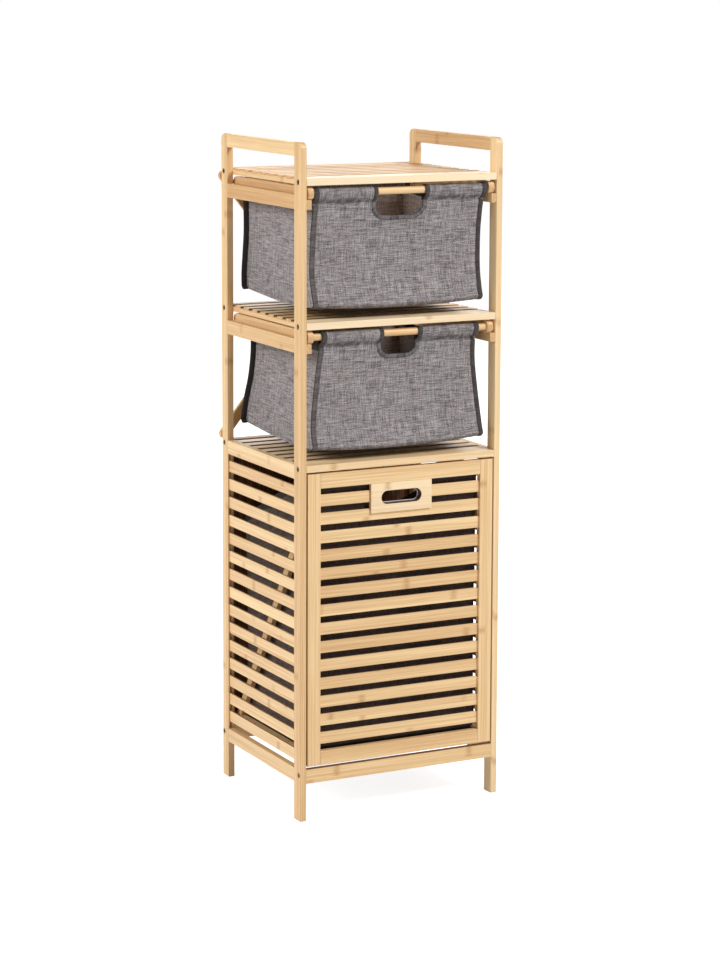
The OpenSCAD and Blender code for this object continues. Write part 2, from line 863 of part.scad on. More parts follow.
// The cloth of a basket: drawn-in walls, a floor, bound seams and a sleeve round each rod
module basket_cloth(rod_w, z_mid, draws, opening_w, opening_drop) {
    color(cloth_grey)
        difference() {
            union() {
                intersection() {
                    along_y(wall_y0 - 1, wall_y1 + 1)
                        basket_front(rod_w, z_mid, seam_w);
                    along_x(-bar_x0, bar_x0)
                        basket_side(z_mid, draws, 0, 0);
                }
                intersection() {
                    along_y(wall_y0 - 1, wall_y1 + 1)
                        basket_front(rod_w, z_mid, 0);
                    difference() {
                        along_x(-bar_x0, bar_x0)
                            basket_side(z_mid, draws, 0, 0);
                        along_x(-bar_x0 - 1, bar_x0 + 1)
                            basket_side(z_mid, draws, cloth_t, sleeve_out);
                    }
                }
                for (y = [rod_y0, rod_y1])
                    translate([-rod_w / 2, y, z_mid])
                        bar_x(2 * sleeve_out, rod_w);
            }
            difference() {
                intersection() {
                    along_y(wall_y0 - 1, wall_y1 + 1)
                        basket_inside_front(rod_w, z_mid);
                    along_x(-bar_x0 - 1, bar_x0 + 1)
                        basket_side(z_mid, draws, cloth_t, sleeve_out + 1);
                }
                for (y = [rod_y0, rod_y1])
                    translate([-rod_w / 2, y, z_mid])
                        bar_x(2 * sleeve_out, rod_w);
            }
            for (y = [rod_y0, rod_y1])
                translate([-rod_w / 2 - 1, y, z_mid])
                    bar_x(2 * sleeve_r, rod_w + 2);
            along_y(wall_y0 - 1, wall_y0 + max(draws[0], 2 * sleeve_out) + cloth_t + 1)
                hand_hole(opening_w, z_mid - opening_drop, z_mid + sleeve_out + 1);
        }
}

// Outline of a basket's hand hole, open at the top and with round lower corners
module hand_hole(opening_w, z0, z1) {
    r = opening_w * 0.3;
    translate([-opening_w / 2, z0 + r])
        square([opening_w, z1 - z0 - r]);
    translate([-opening_w / 2 + r, z0])
        square([opening_w - 2 * r, r + eps]);
    for (side = [-1, 1])
        translate([side * (opening_w / 2 - r), z0 + r])
            circle(r);
}

// The stiffening board that lies in the bottom of a basket
module basket_board(rod_w, z_mid, draws) {
    z0 = z_mid - cloth_drop + cloth_t;
    z1 = z0 + base_board_t;
    x1 = min(basket_base_w / 2, cloth_half(rod_w, z_mid, z1)) - seam_w - cloth_t - 1;
    y0 = wall_y0 + 0.4 * draws[0] + cloth_t + 1;
    y1 = wall_y1 - 0.12 * draws[1] - cloth_t - 1;
    color(bag_grey)
        block([-x1, x1], [y0, y1], [z0, z1]);
}

post(-1, true);  // post_front_left
post(1, true);  // post_front_right
post(-1, false);  // post_back_left
post(1, false);  // post_back_right
side_rail(-1, frame_h - handle_h, handle_h);  // handle_rail_left
side_rail(1, frame_h - handle_h, handle_h);  // handle_rail_right
side_rail(-1, upper_rail_z, rail_h);  // upper_side_rail_left
side_rail(1, upper_rail_z, rail_h);  // upper_side_rail_right
side_rail(-1, middle_rail_z, rail_h);  // middle_side_rail_left
side_rail(1, middle_rail_z, rail_h);  // middle_side_rail_right
side_rail(-1, cabinet_rail_z, rail_h);  // cabinet_side_rail_left
side_rail(1, cabinet_rail_z, rail_h);  // cabinet_side_rail_right
side_rail(-1, leg_h, rail_h);  // bottom_side_rail_left
side_rail(1, leg_h, rail_h);  // bottom_side_rail_right
bottom_front_rail();
bottom_back_rail();
side_slat_set(-1);  // side_slats_left
side_slat_set(1);  // side_slats_right
back_panel();
runners(upper_rail_z);  // upper_runners
runners(middle_rail_z);  // lower_runners
shelf_front_board(top_shelf_z);  // top_shelf_front_board
shelf_back_board(top_shelf_z);  // top_shelf_back_board
shelf_slat_set(top_shelf_z);  // top_shelf_slats
shelf_front_board(middle_shelf_z);  // middle_shelf_front_board
shelf_back_board(middle_shelf_z);  // middle_shelf_back_board
shelf_slat_set(middle_shelf_z);  // middle_shelf_slats
shelf_front_board(cabinet_shelf_z);  // cabinet_shelf_front_board
shelf_back_board(cabinet_shelf_z);  // cabinet_shelf_back_board
shelf_slat_set(cabinet_shelf_z);  // cabinet_shelf_slats
shelf_battens();
brace_board(1);  // brace_rising
brace_board(-1);  // brace_falling
brace_screws();
frame_bolts();
rail_dowels();
magnet_catch();
door_stile(-1);  // door_stile_left
door_stile(1);  // door_stile_right
door_top_rail();
door_bottom_rail();
door_slat_set();
handle_plate();
strike_plate();
pivot_pins();
cradle_bottom_sticks();
cradle_diagonals();
cradle_cross_sticks();
cradle_board();
bag_tape();
laundry_bag();
basket_bars(upper_rod_z);  // upper_basket_bars
basket_rods(upper_rod_z);  // upper_basket_rods
basket_cloth(upper_rod_w, upper_rod_z, upper_draws, upper_hole_w, upper_hole_drop);  // upper_basket_cloth
basket_board(upper_rod_w, upper_rod_z, upper_draws);  // upper_basket_board
basket_bars(lower_rod_z);  // lower_basket_bars
basket_rods(lower_rod_z);  // lower_basket_rods
basket_cloth(lower_rod_w, lower_rod_z, lower_draws, lower_hole_w, lower_hole_drop);  // lower_basket_cloth
basket_board(lower_rod_w, lower_rod_z, lower_draws);  // lower_basket_board
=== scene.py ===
import bisect
import json
import math
import random

import bmesh
import bpy
from mathutils import Euler, Matrix, Vector, noise

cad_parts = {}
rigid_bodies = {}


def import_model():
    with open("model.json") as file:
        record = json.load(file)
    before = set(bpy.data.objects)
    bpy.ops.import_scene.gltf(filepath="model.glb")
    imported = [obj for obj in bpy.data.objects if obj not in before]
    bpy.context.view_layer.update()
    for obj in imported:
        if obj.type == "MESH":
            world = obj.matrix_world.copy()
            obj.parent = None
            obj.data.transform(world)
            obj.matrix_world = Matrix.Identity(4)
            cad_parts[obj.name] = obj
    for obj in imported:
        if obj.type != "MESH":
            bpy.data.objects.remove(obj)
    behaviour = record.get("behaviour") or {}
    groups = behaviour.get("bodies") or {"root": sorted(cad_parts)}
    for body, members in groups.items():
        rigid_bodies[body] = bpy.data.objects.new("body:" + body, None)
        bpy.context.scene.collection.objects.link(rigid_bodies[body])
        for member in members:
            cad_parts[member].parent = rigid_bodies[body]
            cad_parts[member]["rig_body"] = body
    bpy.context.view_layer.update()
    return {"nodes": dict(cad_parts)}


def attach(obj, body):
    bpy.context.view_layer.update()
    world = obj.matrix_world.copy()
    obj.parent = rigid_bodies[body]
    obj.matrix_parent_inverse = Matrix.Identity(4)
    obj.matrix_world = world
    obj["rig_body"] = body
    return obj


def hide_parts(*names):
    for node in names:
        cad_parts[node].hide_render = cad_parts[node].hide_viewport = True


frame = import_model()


def linked(name, data):
    made = bpy.data.objects.new(name, data)
    bpy.context.scene.collection.objects.link(made)
    return made


cameraSetup = {
    "place": (-2.1994, -4.2837, 1.4699),  # fitted to the corners of the posts
    "turn": -27.2027,  # degrees about the upright
    "pitch": 7.7086,  # degrees below level
    "roll": 0.2124,
    "lens": 100.32,  # mm, on the long side of the film
    "film": 36,
    "shiftUp": -0.14,
}


def makeCamera(setup):
    data = bpy.data.cameras.new("photoCamera")
    data.sensor_width = setup["film"]
    data.lens = setup["lens"]
    data.shift_y = setup["shiftUp"]
    camera = linked("photoCamera", data)
    aim = Euler((math.radians(90 - setup["pitch"]), 0, math.radians(setup["turn"]))).to_matrix()
    roll = Matrix.Rotation(math.radians(setup["roll"]), 3, "Z")
    camera.rotation_mode = "QUATERNION"
    camera.rotation_quaternion = (aim @ roll).to_quaternion()
    camera.location = setup["place"]
    bpy.context.scene.camera = camera


makeCamera(cameraSetup)
print("camera set")


def deselectAll():
    if bpy.context.view_layer.objects.active and bpy.context.mode != "OBJECT":
        bpy.ops.object.mode_set(mode="OBJECT")
    bpy.ops.object.select_all(action="DESELECT")


def makeActive(piece):
    deselectAll()
    piece.select_set(True)
    bpy.context.view_layer.objects.active = piece


def editAll(piece):
    makeActive(piece)
    bpy.ops.object.mode_set(mode="EDIT")
    selectAll()


def selectAll():
    bpy.ops.mesh.select_all(action="SELECT")


def leaveEdit():
    bpy.ops.object.mode_set(mode="OBJECT")


def applyModifier(piece, name, kind, **values):
    makeActive(piece)
    modifier = piece.modifiers.new(name, kind)
    for key, value in values.items():
        setattr(modifier, key, value)
    bpy.ops.object.modifier_apply(modifier=modifier.name)


def smoothFaces(piece, degrees):
    makeActive(piece)
    bpy.ops.object.shade_smooth_by_angle(angle=math.radians(degrees))


def writeValues(mesh, name, domain, values):
    mesh.attributes.new(name, "FLOAT", domain).data.foreach_set("value", values)


def hand(piece, body, material=None, stands=()):
    # gives a finished piece its body, its slot and its finish
    if material:
        piece.data.materials.clear()
        piece.data.materials.append(material)
    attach(piece, body)
    if stands:
        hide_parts(*stands)


def curveValue(points, place):
    # smooth curve through (place, value) pairs
    place = min(max(place, points[0][0]), points[-1][0])
    last = len(points) - 1
    index = max(i for i in range(last) if points[i][0] <= place)

    def slope(i):
        before, after = points[max(i - 1, 0)], points[min(i + 1, last)]
        return (after[1] - before[1]) / (after[0] - before[0])

    (x0, y0), (x1, y1) = points[index], points[index + 1]
    span = x1 - x0
    t = (place - x0) / span
    return (
        y0 * (2 * t**3 - 3 * t**2 + 1)
        + slope(index) * span * (t**3 - 2 * t**2 + t)
        + y1 * (3 * t**2 - 2 * t**3)
        + slope(index + 1) * span * (t**3 - t**2)
    )


def clamped(value):
    return min(max(value, 0.0), 1.0)


def ease(low, high, value):
    t = clamped((value - low) / (high - low))
    return t * t * (3 - 2 * t)


def bell(distance, width):
    return math.exp(-((distance / width) ** 2))


def evenly(low, high, count):
    # count equal steps from low to high, with both ends
    return [low + (high - low) * step / count for step in range(count + 1)]


def lengthsAlong(points):
    lengths = [0.0]
    for here, there in zip(points, points[1:]):
        lengths.append(lengths[-1] + math.dist(here, there))
    return lengths


def placeAlong(points, lengths, goal):
    # the point at a length along a line, and the two points that it lies between
    index = min(max(bisect.bisect_right(lengths, goal) - 1, 0), len(points) - 2)
    here, there = points[index], points[index + 1]
    share = (goal - lengths[index]) / max(lengths[index + 1] - lengths[index], 1e-9)
    return [a + (b - a) * share for a, b in zip(here, there)], here, there


def fillInputs(tree, made, inputs):
    for key, value in inputs.items():
        if isinstance(value, bpy.types.NodeSocket):
            tree.links.new(value, made.inputs[key])
        else:
            made.inputs[key].default_value = value
    return made.outputs


def addNode(tree, kind, settings=None, inputs=None):
    made = tree.nodes.new("ShaderNode" + kind)
    for key, value in (settings or {}).items():
        setattr(made, key, value)
    return fillInputs(tree, made, inputs or {})


def useGroup(tree, group, inputs):
    made = tree.nodes.new("ShaderNodeGroup")
    made.node_tree = group
    return fillInputs(tree, made, inputs)


def calc(tree, operation, *values, clamp=False):
    settings = {"operation": operation, "use_clamp": clamp}
    return addNode(tree, "Math", settings, dict(enumerate(values)))[0]


def times(tree, first, second):
    return calc(tree, "MULTIPLY", first, second)


def weighted(tree, start, values, shares, clamp=False):
    # start, plus each named value times its share
    last = list(shares)[-1]
    for name, share in shares.items():
        limit = clamp and name == last
        start = calc(tree, "MULTIPLY_ADD", values[name], share, start, clamp=limit)
    return start


def ribbed(tree, value, factor):
    return calc(tree, "ABSOLUTE", calc(tree, "SINE", times(tree, value, factor)))


def vectorOf(tree, *values):
    return addNode(tree, "CombineXYZ", {}, dict(enumerate(values)))[0]


def partsOf(tree, vector):
    return addNode(tree, "SeparateXYZ", {}, {0: vector})


def scaled(tree, vector, factors):
    return addNode(tree, "VectorMath", {"operation": "MULTIPLY"}, {0: vector, 1: factors})[0]


def mixed(tree, amount, first, second):
    return addNode(tree, "Mix", {"data_type": "RGBA"}, {0: amount, 6: first, 7: second})[2]


def ranged(tree, value, low, high, toLow=0.0, toHigh=1.0, smooth=True):
    settings = {"interpolation_type": "SMOOTHSTEP" if smooth else "LINEAR"}
    inputs = {0: value, 1: low, 2: high, 3: toLow, 4: toHigh}
    return addNode(tree, "MapRange", settings, inputs)[0]


def noised(tree, vector, factors, detail=2.0, rough=0.5):
    # factors say how fine the noise is along each axis
    inputs = {"Vector": scaled(tree, vector, factors), "Scale": 1.0, "Detail": detail, "Roughness": rough}
    return addNode(tree, "TexNoise", {}, inputs)[0]


def noiseLayers(tree, vector, layers):
    return {name: noised(tree, vector, *layer) for name, layer in layers.items()}


def randomCell(tree, vector):
    return addNode(tree, "TexWhiteNoise", {"noise_dimensions": "3D"}, {"Vector": vector})[0]


def readAttribute(tree, name):
    return addNode(tree, "Attribute", {"attribute_name": name})["Fac"]


def readFlat(tree):
    return addNode(tree, "UVMap", {"uv_map": "UVMap"})[0]


def objectPlace(tree, turn=None):
    place = addNode(tree, "TexCoord")["Object"]
    if turn:
        turned = tuple(math.radians(angle) for angle in turn)
        place = addNode(tree, "Mapping", {}, {"Vector": place, "Rotation": turned})[0]
    return place


def bumped(tree, height, distance, strength):
    inputs = {"Height": height, "Distance": distance, "Strength": strength}
    return addNode(tree, "Bump", {}, inputs)[0]


def srgb(red, green, blue):
    def linear(value):
        value /= 255
        return value / 12.92 if value <= 0.04045 else ((value + 0.055) / 1.055) ** 2.4

    return (linear(red), linear(green), linear(blue), 1.0)


def newGroup(name, inputs, outputs):
    # sockets are (label, kind) or (label, kind, value)
    group = bpy.data.node_groups.new(name, "ShaderNodeTree")
    for side, items in (("INPUT", inputs), ("OUTPUT", outputs)):
        for label, kind, *value in items:
            made = group.interface.new_socket(name=label, in_out=side, socket_type="NodeSocket" + kind)
            if value:
                made.default_value = value[0]
    return group, group.nodes.new("NodeGroupInput").outputs, group.nodes.new("NodeGroupOutput")


def newMaterial(name):
    material = bpy.data.materials.new(name)
    material.use_nodes = True
    tree = material.node_tree
    return material, tree, tree.nodes["Principled BSDF"]


bambooLook = {
    "light": srgb(251, 218, 166),
    "dark": srgb(208, 160, 107),
    "pale": srgb(255, 240, 212),
    "knuckle": srgb(176, 118, 64),
    "endGrain": srgb(226, 188, 140),
    "gap": srgb(122, 78, 42),  # painted shade on faces deep in narrow gaps
    "stripWidth": 0.0205,  # metres, the glued strips that a board is made of
    "boardsApart": (3.7, 1.31, 2.93),
    "grain": {  # fineness along and across the board, detail, roughness
        "fibre": ((9.0, 900.0, 900.0), 3.0, 0.6),
        "streak": ((2.6, 300.0, 300.0), 4.0, 0.62),
        "broad": ((1.4, 26.0, 26.0), 1.0),
        "blotch": ((150.0, 210.0, 210.0), 2.0, 0.6),
        "pores": ((260.0, 620.0, 620.0), 1.0),
    },
    "toneShares": {"streak": 1.05, "fibre": 0.85, "broad": 0.5, "strip": 0.30, "board": 0.20},
    "toneSpan": (1.12, 1.92),
    "knuckleEvery": 0.27,
    "knuckleStagger": 7.0,
    "knuckleChance": (0.38, 0.62),
    "knuckleRagged": {"streak": 0.008, "blotch": 0.012},  # metres
    "bodySpan": (0.0125, 0.002),  # metres from the middle of a knuckle, where it fades
    "coreSpan": (0.0060, 0.0005),
    "blotchSpan": (0.36, 0.62, 0.3, 1.0),
    "most": {"pale": 0.6, "body": 0.42, "core": 0.20, "endSoft": 0.45, "gap": 0.8},
    "poreSpan": (0.42, 0.62),
    "roughStart": 0.36,
    "roughShares": {"fibre": 0.2, "end": 0.18},
    "heightShares": {"fibre": 0.6, "streak": 0.4, "core": 0.5},
    "bump": (0.00012, 0.6),  # metres, strength
    "surface": {"Specular IOR Level": 0.36, "Coat Weight": 0.08, "Coat Roughness": 0.35},
}


def bambooGroup(look):
    group, given, out = newGroup(
        "bambooGrain",
        [("Grain", "Vector"), ("Tone", "Float", 0.5), ("Shift", "Float", 0.0), ("End", "Float", 0.0),
         ("Gap", "Float", 0.0)],
        [("Color", "Color"), ("Roughness", "Float"), ("Height", "Float")],
    )
    away = scaled(group, vectorOf(group, *[given["Shift"]] * 3), look["boardsApart"])
    place = addNode(group, "VectorMath", {"operation": "ADD"}, {0: given["Grain"], 1: away})[0]
    grain = noiseLayers(group, place, look["grain"])
    # glued strips, each with its own tone and its own knuckles
    wander = partsOf(group, place)
    strips = [calc(group, "FLOOR", calc(group, "DIVIDE", wander[i], look["stripWidth"])) for i in (1, 2)]
    grain["strip"] = randomCell(group, vectorOf(group, *strips, 4.0))
    along = calc(group, "DIVIDE", wander[0], look["knuckleEvery"])
    along = calc(group, "MULTIPLY_ADD", grain["strip"], look["knuckleStagger"], along)
    chance = randomCell(group, vectorOf(group, *strips, calc(group, "FLOOR", along)))
    halfway = calc(group, "SUBTRACT", calc(group, "FRACT", along), 0.5)
    grain["apart"] = calc(group, "ABSOLUTE", halfway)
    ragged = look["knuckleRagged"]
    shares = {"apart": look["knuckleEvery"], **ragged}
    apart = weighted(group, -sum(ragged.values()) / 2, grain, shares)
    shown = ranged(group, chance, *look["knuckleChance"])
    body = times(group, ranged(group, apart, *look["bodySpan"]), shown)
    body = times(group, body, ranged(group, grain["blotch"], *look["blotchSpan"]))
    grain["core"] = times(group, ranged(group, apart, *look["coreSpan"]), shown)
    # colours laid over each other
    grain["board"], grain["end"] = given["Tone"], given["End"]
    most = look["most"]
    tone = weighted(group, 0.0, grain, look["toneShares"])
    tone = ranged(group, tone, *look["toneSpan"], smooth=False)
    endTone = mixed(group, ranged(group, grain["pores"], *look["poreSpan"]), look["endGrain"], look["knuckle"])
    endTone = mixed(group, most["endSoft"], endTone, look["endGrain"])
    colour = mixed(group, tone, look["light"], look["dark"])
    for amount, over in (
        (ranged(group, given["Tone"], 0.0, -1.0, 0.0, most["pale"]), look["pale"]),
        (times(group, body, most["body"]), look["knuckle"]),
        (times(group, grain["core"], most["core"]), look["knuckle"]),
        (given["End"], endTone),
        # painted shade: faces in narrow gaps turn dark brown
        (times(group, given["Gap"], most["gap"]), look["gap"]),
    ):
        colour = mixed(group, amount, colour, over)
    fillInputs(group, out, {
        "Color": colour,
        "Roughness": weighted(group, look["roughStart"], grain, look["roughShares"]),
        "Height": weighted(group, 0.0, grain, look["heightShares"]),
    })
    return group


bambooGrain = bambooGroup(bambooLook)
boardAttributes = {"Tone": "boardTone", "Shift": "boardShift", "End": "endGrain", "Gap": "gapSide"}


def bambooMaterial(name, turn):
    material, tree, shader = newMaterial(name)
    asked = {key: readAttribute(tree, label) for key, label in boardAttributes.items()}
    made = useGroup(tree, bambooGrain, {"Grain": objectPlace(tree, turn), **asked})
    fillInputs(tree, shader, {
        "Base Color": made["Color"], "Roughness": made["Roughness"],
        "Normal": bumped(tree, made["Height"], *bambooLook["bump"]), **bambooLook["surface"],
    })
    return material


# both ends of a sloping board, along and up, in metres
slopingEnds = {"cradle": ((-0.157, 0.586), (0.148, 0.118)), "brace": ((0.0, 1.122), (0.388, 0.646))}
slopes = {name: math.atan2(there[1] - here[1], there[0] - here[0]) for name, (here, there) in slopingEnds.items()}
cradleTurn, braceTurn = math.degrees(slopes["cradle"]), math.degrees(slopes["brace"])
runs = {name: (math.cos(slope), math.sin(slope)) for name, slope in slopes.items()}

# the turn that lays each grain along the pattern's first axis, and the way that it runs
grainWays = {
    "across": (None, (1, 0, 0)),
    "deep": ((0, 0, -90), (0, 1, 0)),
    "upright": ((0, 90, 0), (0, 0, 1)),
    "cradleSlope": ((-cradleTurn, 0, -90), (0, runs["cradle"][0], runs["cradle"][1])),
    "braceFalling": ((0, braceTurn, 0), (runs["brace"][0], 0, runs["brace"][1])),
    "braceRising": ((0, -braceTurn, 0), (runs["brace"][0], 0, -runs["brace"][1])),
}
bamboo = {way: bambooMaterial("bamboo_" + way, turn) for way, (turn, axis) in grainWays.items()}


def pairs(*names):
    return [f"{name}_{side}" for name in names for side in ("left", "right")]


shelfParts = ("front_board", "back_board", "slats")
boards = {
    "upright": pairs("post_front", "post_back", "door_stile"),
    "deep": pairs(
        "handle_rail", "upper_side_rail", "middle_side_rail", "cabinet_side_rail", "bottom_side_rail", "side_slats",
    ) + [
        "upper_runners", "lower_runners", "shelf_battens", "cradle_bottom_sticks",
        "upper_basket_bars", "lower_basket_bars",
    ],
    "across": [f"{shelf}_shelf_{part}" for shelf in ("top", "middle", "cabinet") for part in shelfParts] + [
        "bottom_front_rail", "bottom_back_rail", "door_top_rail", "door_bottom_rail", "door_slat_set",
        "handle_plate", "cradle_cross_sticks", "upper_basket_rods", "lower_basket_rods",
    ],
    "cradleSlope": ["cradle_diagonals"],
    "braceFalling": ["brace_falling"],
    "braceRising": ["brace_rising"],
}

boardEdges = {
    "weld": 0.00002,  # metres, for the bag too
    "flatWithin": 0.8,  # degrees
    "sharpFrom": 35.0,  # degrees, from which an edge counts as an arris
    "smallestRim": 0.014,  # metres; rims of bolt and dowel holes stay crisp
    "roundOff": 0.0009,  # metres taken off every long arris
    "endFrom": 0.85,  # how squarely a face looks along the grain to be an end
    "gapFrom": (0.45, 0.85),
}
battens = {
    "levels": (1.138, 0.888, 0.638),
    "notch": 0.0034,  # they lie lower than the slats' ends
}

boardTonesAndPaintedLight = {  # lowest and highest tone of these boards; the rest draw from 0, pale, to 1; some fixed tones below are painted light and shade
    "handle_plate": (-0.55, -0.55),
    # pale shelf front boards: painted highlight
    "top_shelf_front_board": (-0.8, -0.8),
    "middle_shelf_front_board": (-0.7, -0.7),
    "cabinet_shelf_front_board": (-0.3, -0.3),
    # darker top shelf slats: painted shade; paler lower shelf slats: painted light under the baskets
    "top_shelf_slats": (1.4, 2.2),
    "middle_shelf_slats": (-0.45, 0.1),
    "cabinet_shelf_slats": (-0.8, -0.15),
    "upper_side_rail_left": (1.3, 1.3),
    "cabinet_side_rail_left": (-0.2, -0.2),
    "bottom_front_rail": (0.0, 0.0),
    "door_stile_left": (0.9, 0.9),
    "door_stile_right": (0.2, 0.2),
    "door_top_rail": (0.3, 0.3),
    "door_slat_set": (0.15, 0.7),
    "side_slats_left": (0.1, 0.7),
    "post_front_left": (0.8, 0.8),
    "post_front_right": (-0.25, -0.25),
    # darker right handle rail, back-left post and brace boards: painted shade
    "handle_rail_right": (1.2, 1.2),
    "post_back_left": (0.75, 0.75),
    "brace_falling": (1.3, 1.3),
    "brace_rising": (1.3, 1.3),
}

# boards whose faces in narrow gaps get painted shade: how much, and the ways those faces point
frontAndBack, upward = [(0, 1, 0), (0, -1, 0)], [(0, 0, 1)]
gapSides = {
    "top_shelf_slats": (0.25, frontAndBack),
    "middle_shelf_slats": (1.0, frontAndBack),
    "cabinet_shelf_slats": (1.0, frontAndBack),
    "side_slats_left": (0.9, upward),
    "side_slats_right": (0.9, upward),
    "bottom_front_rail": (1.0, upward),
    "door_stile_left": (0.6, [(-1, 0, 0)]),
    "door_stile_right": (0.6, [(1, 0, 0)]),
}


def spreadFrom(start, waiting, neighbours):
    # takes start, and all that it reaches, out of those that wait
    waiting.discard(start)
    reached, front = [start], [start]
    while front:
        for other in neighbours(front.pop()):
            if other in waiting:
                waiting.discard(other)
                reached.append(other)
                front.append(other)
    return reached


def selectArrises(mesh):
    # outward edges of a board, but not the rims of its small holes
    for item in (*mesh.verts, *mesh.edges, *mesh.faces):
        item.select = False
    limit = math.radians(boardEdges["sharpFrom"])
    outward = [e for e in mesh.edges if len(e.link_faces) == 2 and e.is_convex]
    sharp = [e for e in outward if e.calc_face_angle(0) > limit]
    waiting = set(sharp)
    for start in sharp:
        if start not in waiting:
            continue
        chain = spreadFrom(start, waiting, lambda edge: [e for vert in edge.verts for e in vert.link_edges])
        corners = [vert.co for edge in chain for vert in edge.verts]
        sizes = [max(c[i] for c in corners) - min(c[i] for c in corners) for i in range(3)]
        if max(sizes) >= boardEdges["smallestRim"]:
            for edge in chain:
                edge.select = True


def islandNumbers(mesh):
    # for each point, the number of the separate board that it belongs to
    build = bmesh.new()
    build.from_mesh(mesh)
    build.verts.ensure_lookup_table()
    waiting = set(build.verts)
    numbers, count = [0] * len(build.verts), 0
    for vert in build.verts:
        if vert in waiting:
            for other in spreadFrom(vert, waiting, lambda v: [e.other_vert(v) for e in v.link_edges]):
                numbers[other.index] = count
            count += 1
    build.free()
    return numbers, count


def writeFaces(mesh, name, rule):
    # one value for all corners of a face, from the way that it faces
    values = [0.0] * len(mesh.loops)
    for face in mesh.polygons:
        value = rule(face.normal)
        for loop in face.loop_indices:
            values[loop] = value
    writeValues(mesh, name, "CORNER", values)


def markBoards(mesh, axis, name):
    # each separate board gets its own tone and its own stretch of grain
    numbers, count = islandNumbers(mesh)
    draw = random.Random(name)
    low, high = boardTonesAndPaintedLight.get(name, (0.0, 1.0))
    tones = [low + (high - low) * draw.random() for _ in range(count)]
    shifts = [draw.random() for _ in range(count)]
    writeValues(mesh, "boardTone", "POINT", [tones[i] for i in numbers])
    writeValues(mesh, "boardShift", "POINT", [shifts[i] for i in numbers])
    writeFaces(mesh, "endGrain", lambda normal: float(abs(normal.dot(axis)) > boardEdges["endFrom"]))
    # painted shade on the faces that look into narrow gaps
    if name in gapSides:
        most, ways = gapSides[name]
        span = boardEdges["gapFrom"]
        writeFaces(mesh, "gapSide", lambda normal: most * max(ease(*span, normal.dot(Vector(way))) for way in ways))


def lowerBattens(mesh):
    bpy.ops.mesh.select_mode(type="FACE")
    build = bmesh.from_edit_mesh(mesh)
    for face in build.faces:
        high = face.calc_center_median().z
        onTop = min(abs(high - level) for level in battens["levels"]) < 0.0002
        face.select = face.normal.z > 0.9 and onTop
    bmesh.update_edit_mesh(mesh)
    bpy.ops.transform.translate(value=(0, 0, -battens["notch"]))


def easedCopy(nodeName, way):
    source = frame["nodes"][nodeName]
    piece = linked(nodeName + "_wood", source.data.copy())
    makeActive(piece)
    bpy.ops.mesh.customdata_custom_splitnormals_clear()
    editAll(piece)
    bpy.ops.mesh.remove_doubles(threshold=boardEdges["weld"])
    bpy.ops.mesh.mark_sharp(clear=True)
    bpy.ops.mesh.dissolve_limited(angle_limit=math.radians(boardEdges["flatWithin"]))
    if nodeName == "shelf_battens":
        lowerBattens(piece.data)
    bpy.ops.mesh.select_mode(type="EDGE")
    selectArrises(bmesh.from_edit_mesh(piece.data))
    bmesh.update_edit_mesh(piece.data)
    bpy.ops.mesh.bevel(offset=boardEdges["roundOff"], segments=2, affect="EDGES", clamp_overlap=False)
    leaveEdit()
    smoothFaces(piece, 50)
    applyModifier(piece, "EvenShade", "WEIGHTED_NORMAL", keep_sharp=True)
    markBoards(piece.data, Vector(grainWays[way][1]), nodeName)
    hand(piece, source["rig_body"], bamboo[way], [nodeName])


for way, names in boards.items():
    for nodeName in names:
        easedCopy(nodeName, way)
print("boards eased and grained")


noiseSpan = (0.3, 0.7)
plainKinds = {  # broad noise for the two tones, fine noise for the finish where it has its own
    "panel": {
        "turn": (0, 90, 0), "broad": ((7.0, 420.0, 420.0), 3.0, 0.6), "fine": None,
        "span": noiseSpan, "rough": (0.42, 0.6), "bump": (0.0001, 0.5), "metal": 0.0,
    },
    "steel": {
        "turn": None, "broad": ((180.0, 180.0, 180.0), 3.0, 0.6), "fine": ((2400.0, 300.0, 2400.0),),
        "span": noiseSpan, "rough": (0.26, 0.46), "bump": (0.00003, 0.4), "metal": 1.0,
    },
    "moulded": {
        "turn": None, "broad": ((60.0, 60.0, 60.0),), "fine": ((900.0, 900.0, 900.0),),
        "span": None, "rough": (0.45, 0.62), "bump": (0.00006, 0.5), "metal": 0.0,
    },
}
plainSkins = {
    "dark_panel_skin": ("panel", (150, 98, 62), (104, 66, 40)),
    # painted shade and painted highlights for the hand hole's liner, lip and beads
    "painted_shade_dark": ("panel", (66, 42, 26), (38, 24, 15)),
    "painted_arris_light": ("panel", (176, 134, 96), (132, 92, 58)),
    "painted_highlight_white": ("panel", (255, 252, 250), (242, 232, 226)),
    "plain_steel": ("steel", (196, 196, 199), (150, 150, 154)),
    "bolt_steel": ("steel", (158, 134, 106), (84, 64, 44), (0.4, 0.58)),
    "catch_plastic": ("moulded", (226, 225, 221), (212, 211, 206)),
    "stiff_board": ("moulded", (66, 64, 65), (52, 50, 51)),
    "hook_tape": ("moulded", (48, 46, 47), (34, 32, 33)),
    "thread_grey": ("moulded", (122, 118, 120), (96, 92, 94)),
}


def plainMaterial(name, kindName, light, dark, rough=None):
    material, tree, shader = newMaterial(name)
    kind = plainKinds[kindName]
    place = objectPlace(tree, kind["turn"])
    broad = noised(tree, place, *kind["broad"])
    fine = noised(tree, place, *kind["fine"]) if kind["fine"] else broad
    share = ranged(tree, broad, *kind["span"]) if kind["span"] else broad
    fillInputs(tree, shader, {
        "Base Color": mixed(tree, share, srgb(*light), srgb(*dark)),
        "Roughness": ranged(tree, fine, *noiseSpan, *(rough or kind["rough"])),
        "Metallic": kind["metal"],
        "Normal": bumped(tree, fine, *kind["bump"]),
    })
    return material


skins = {name: plainMaterial(name, *values) for name, values in plainSkins.items()}

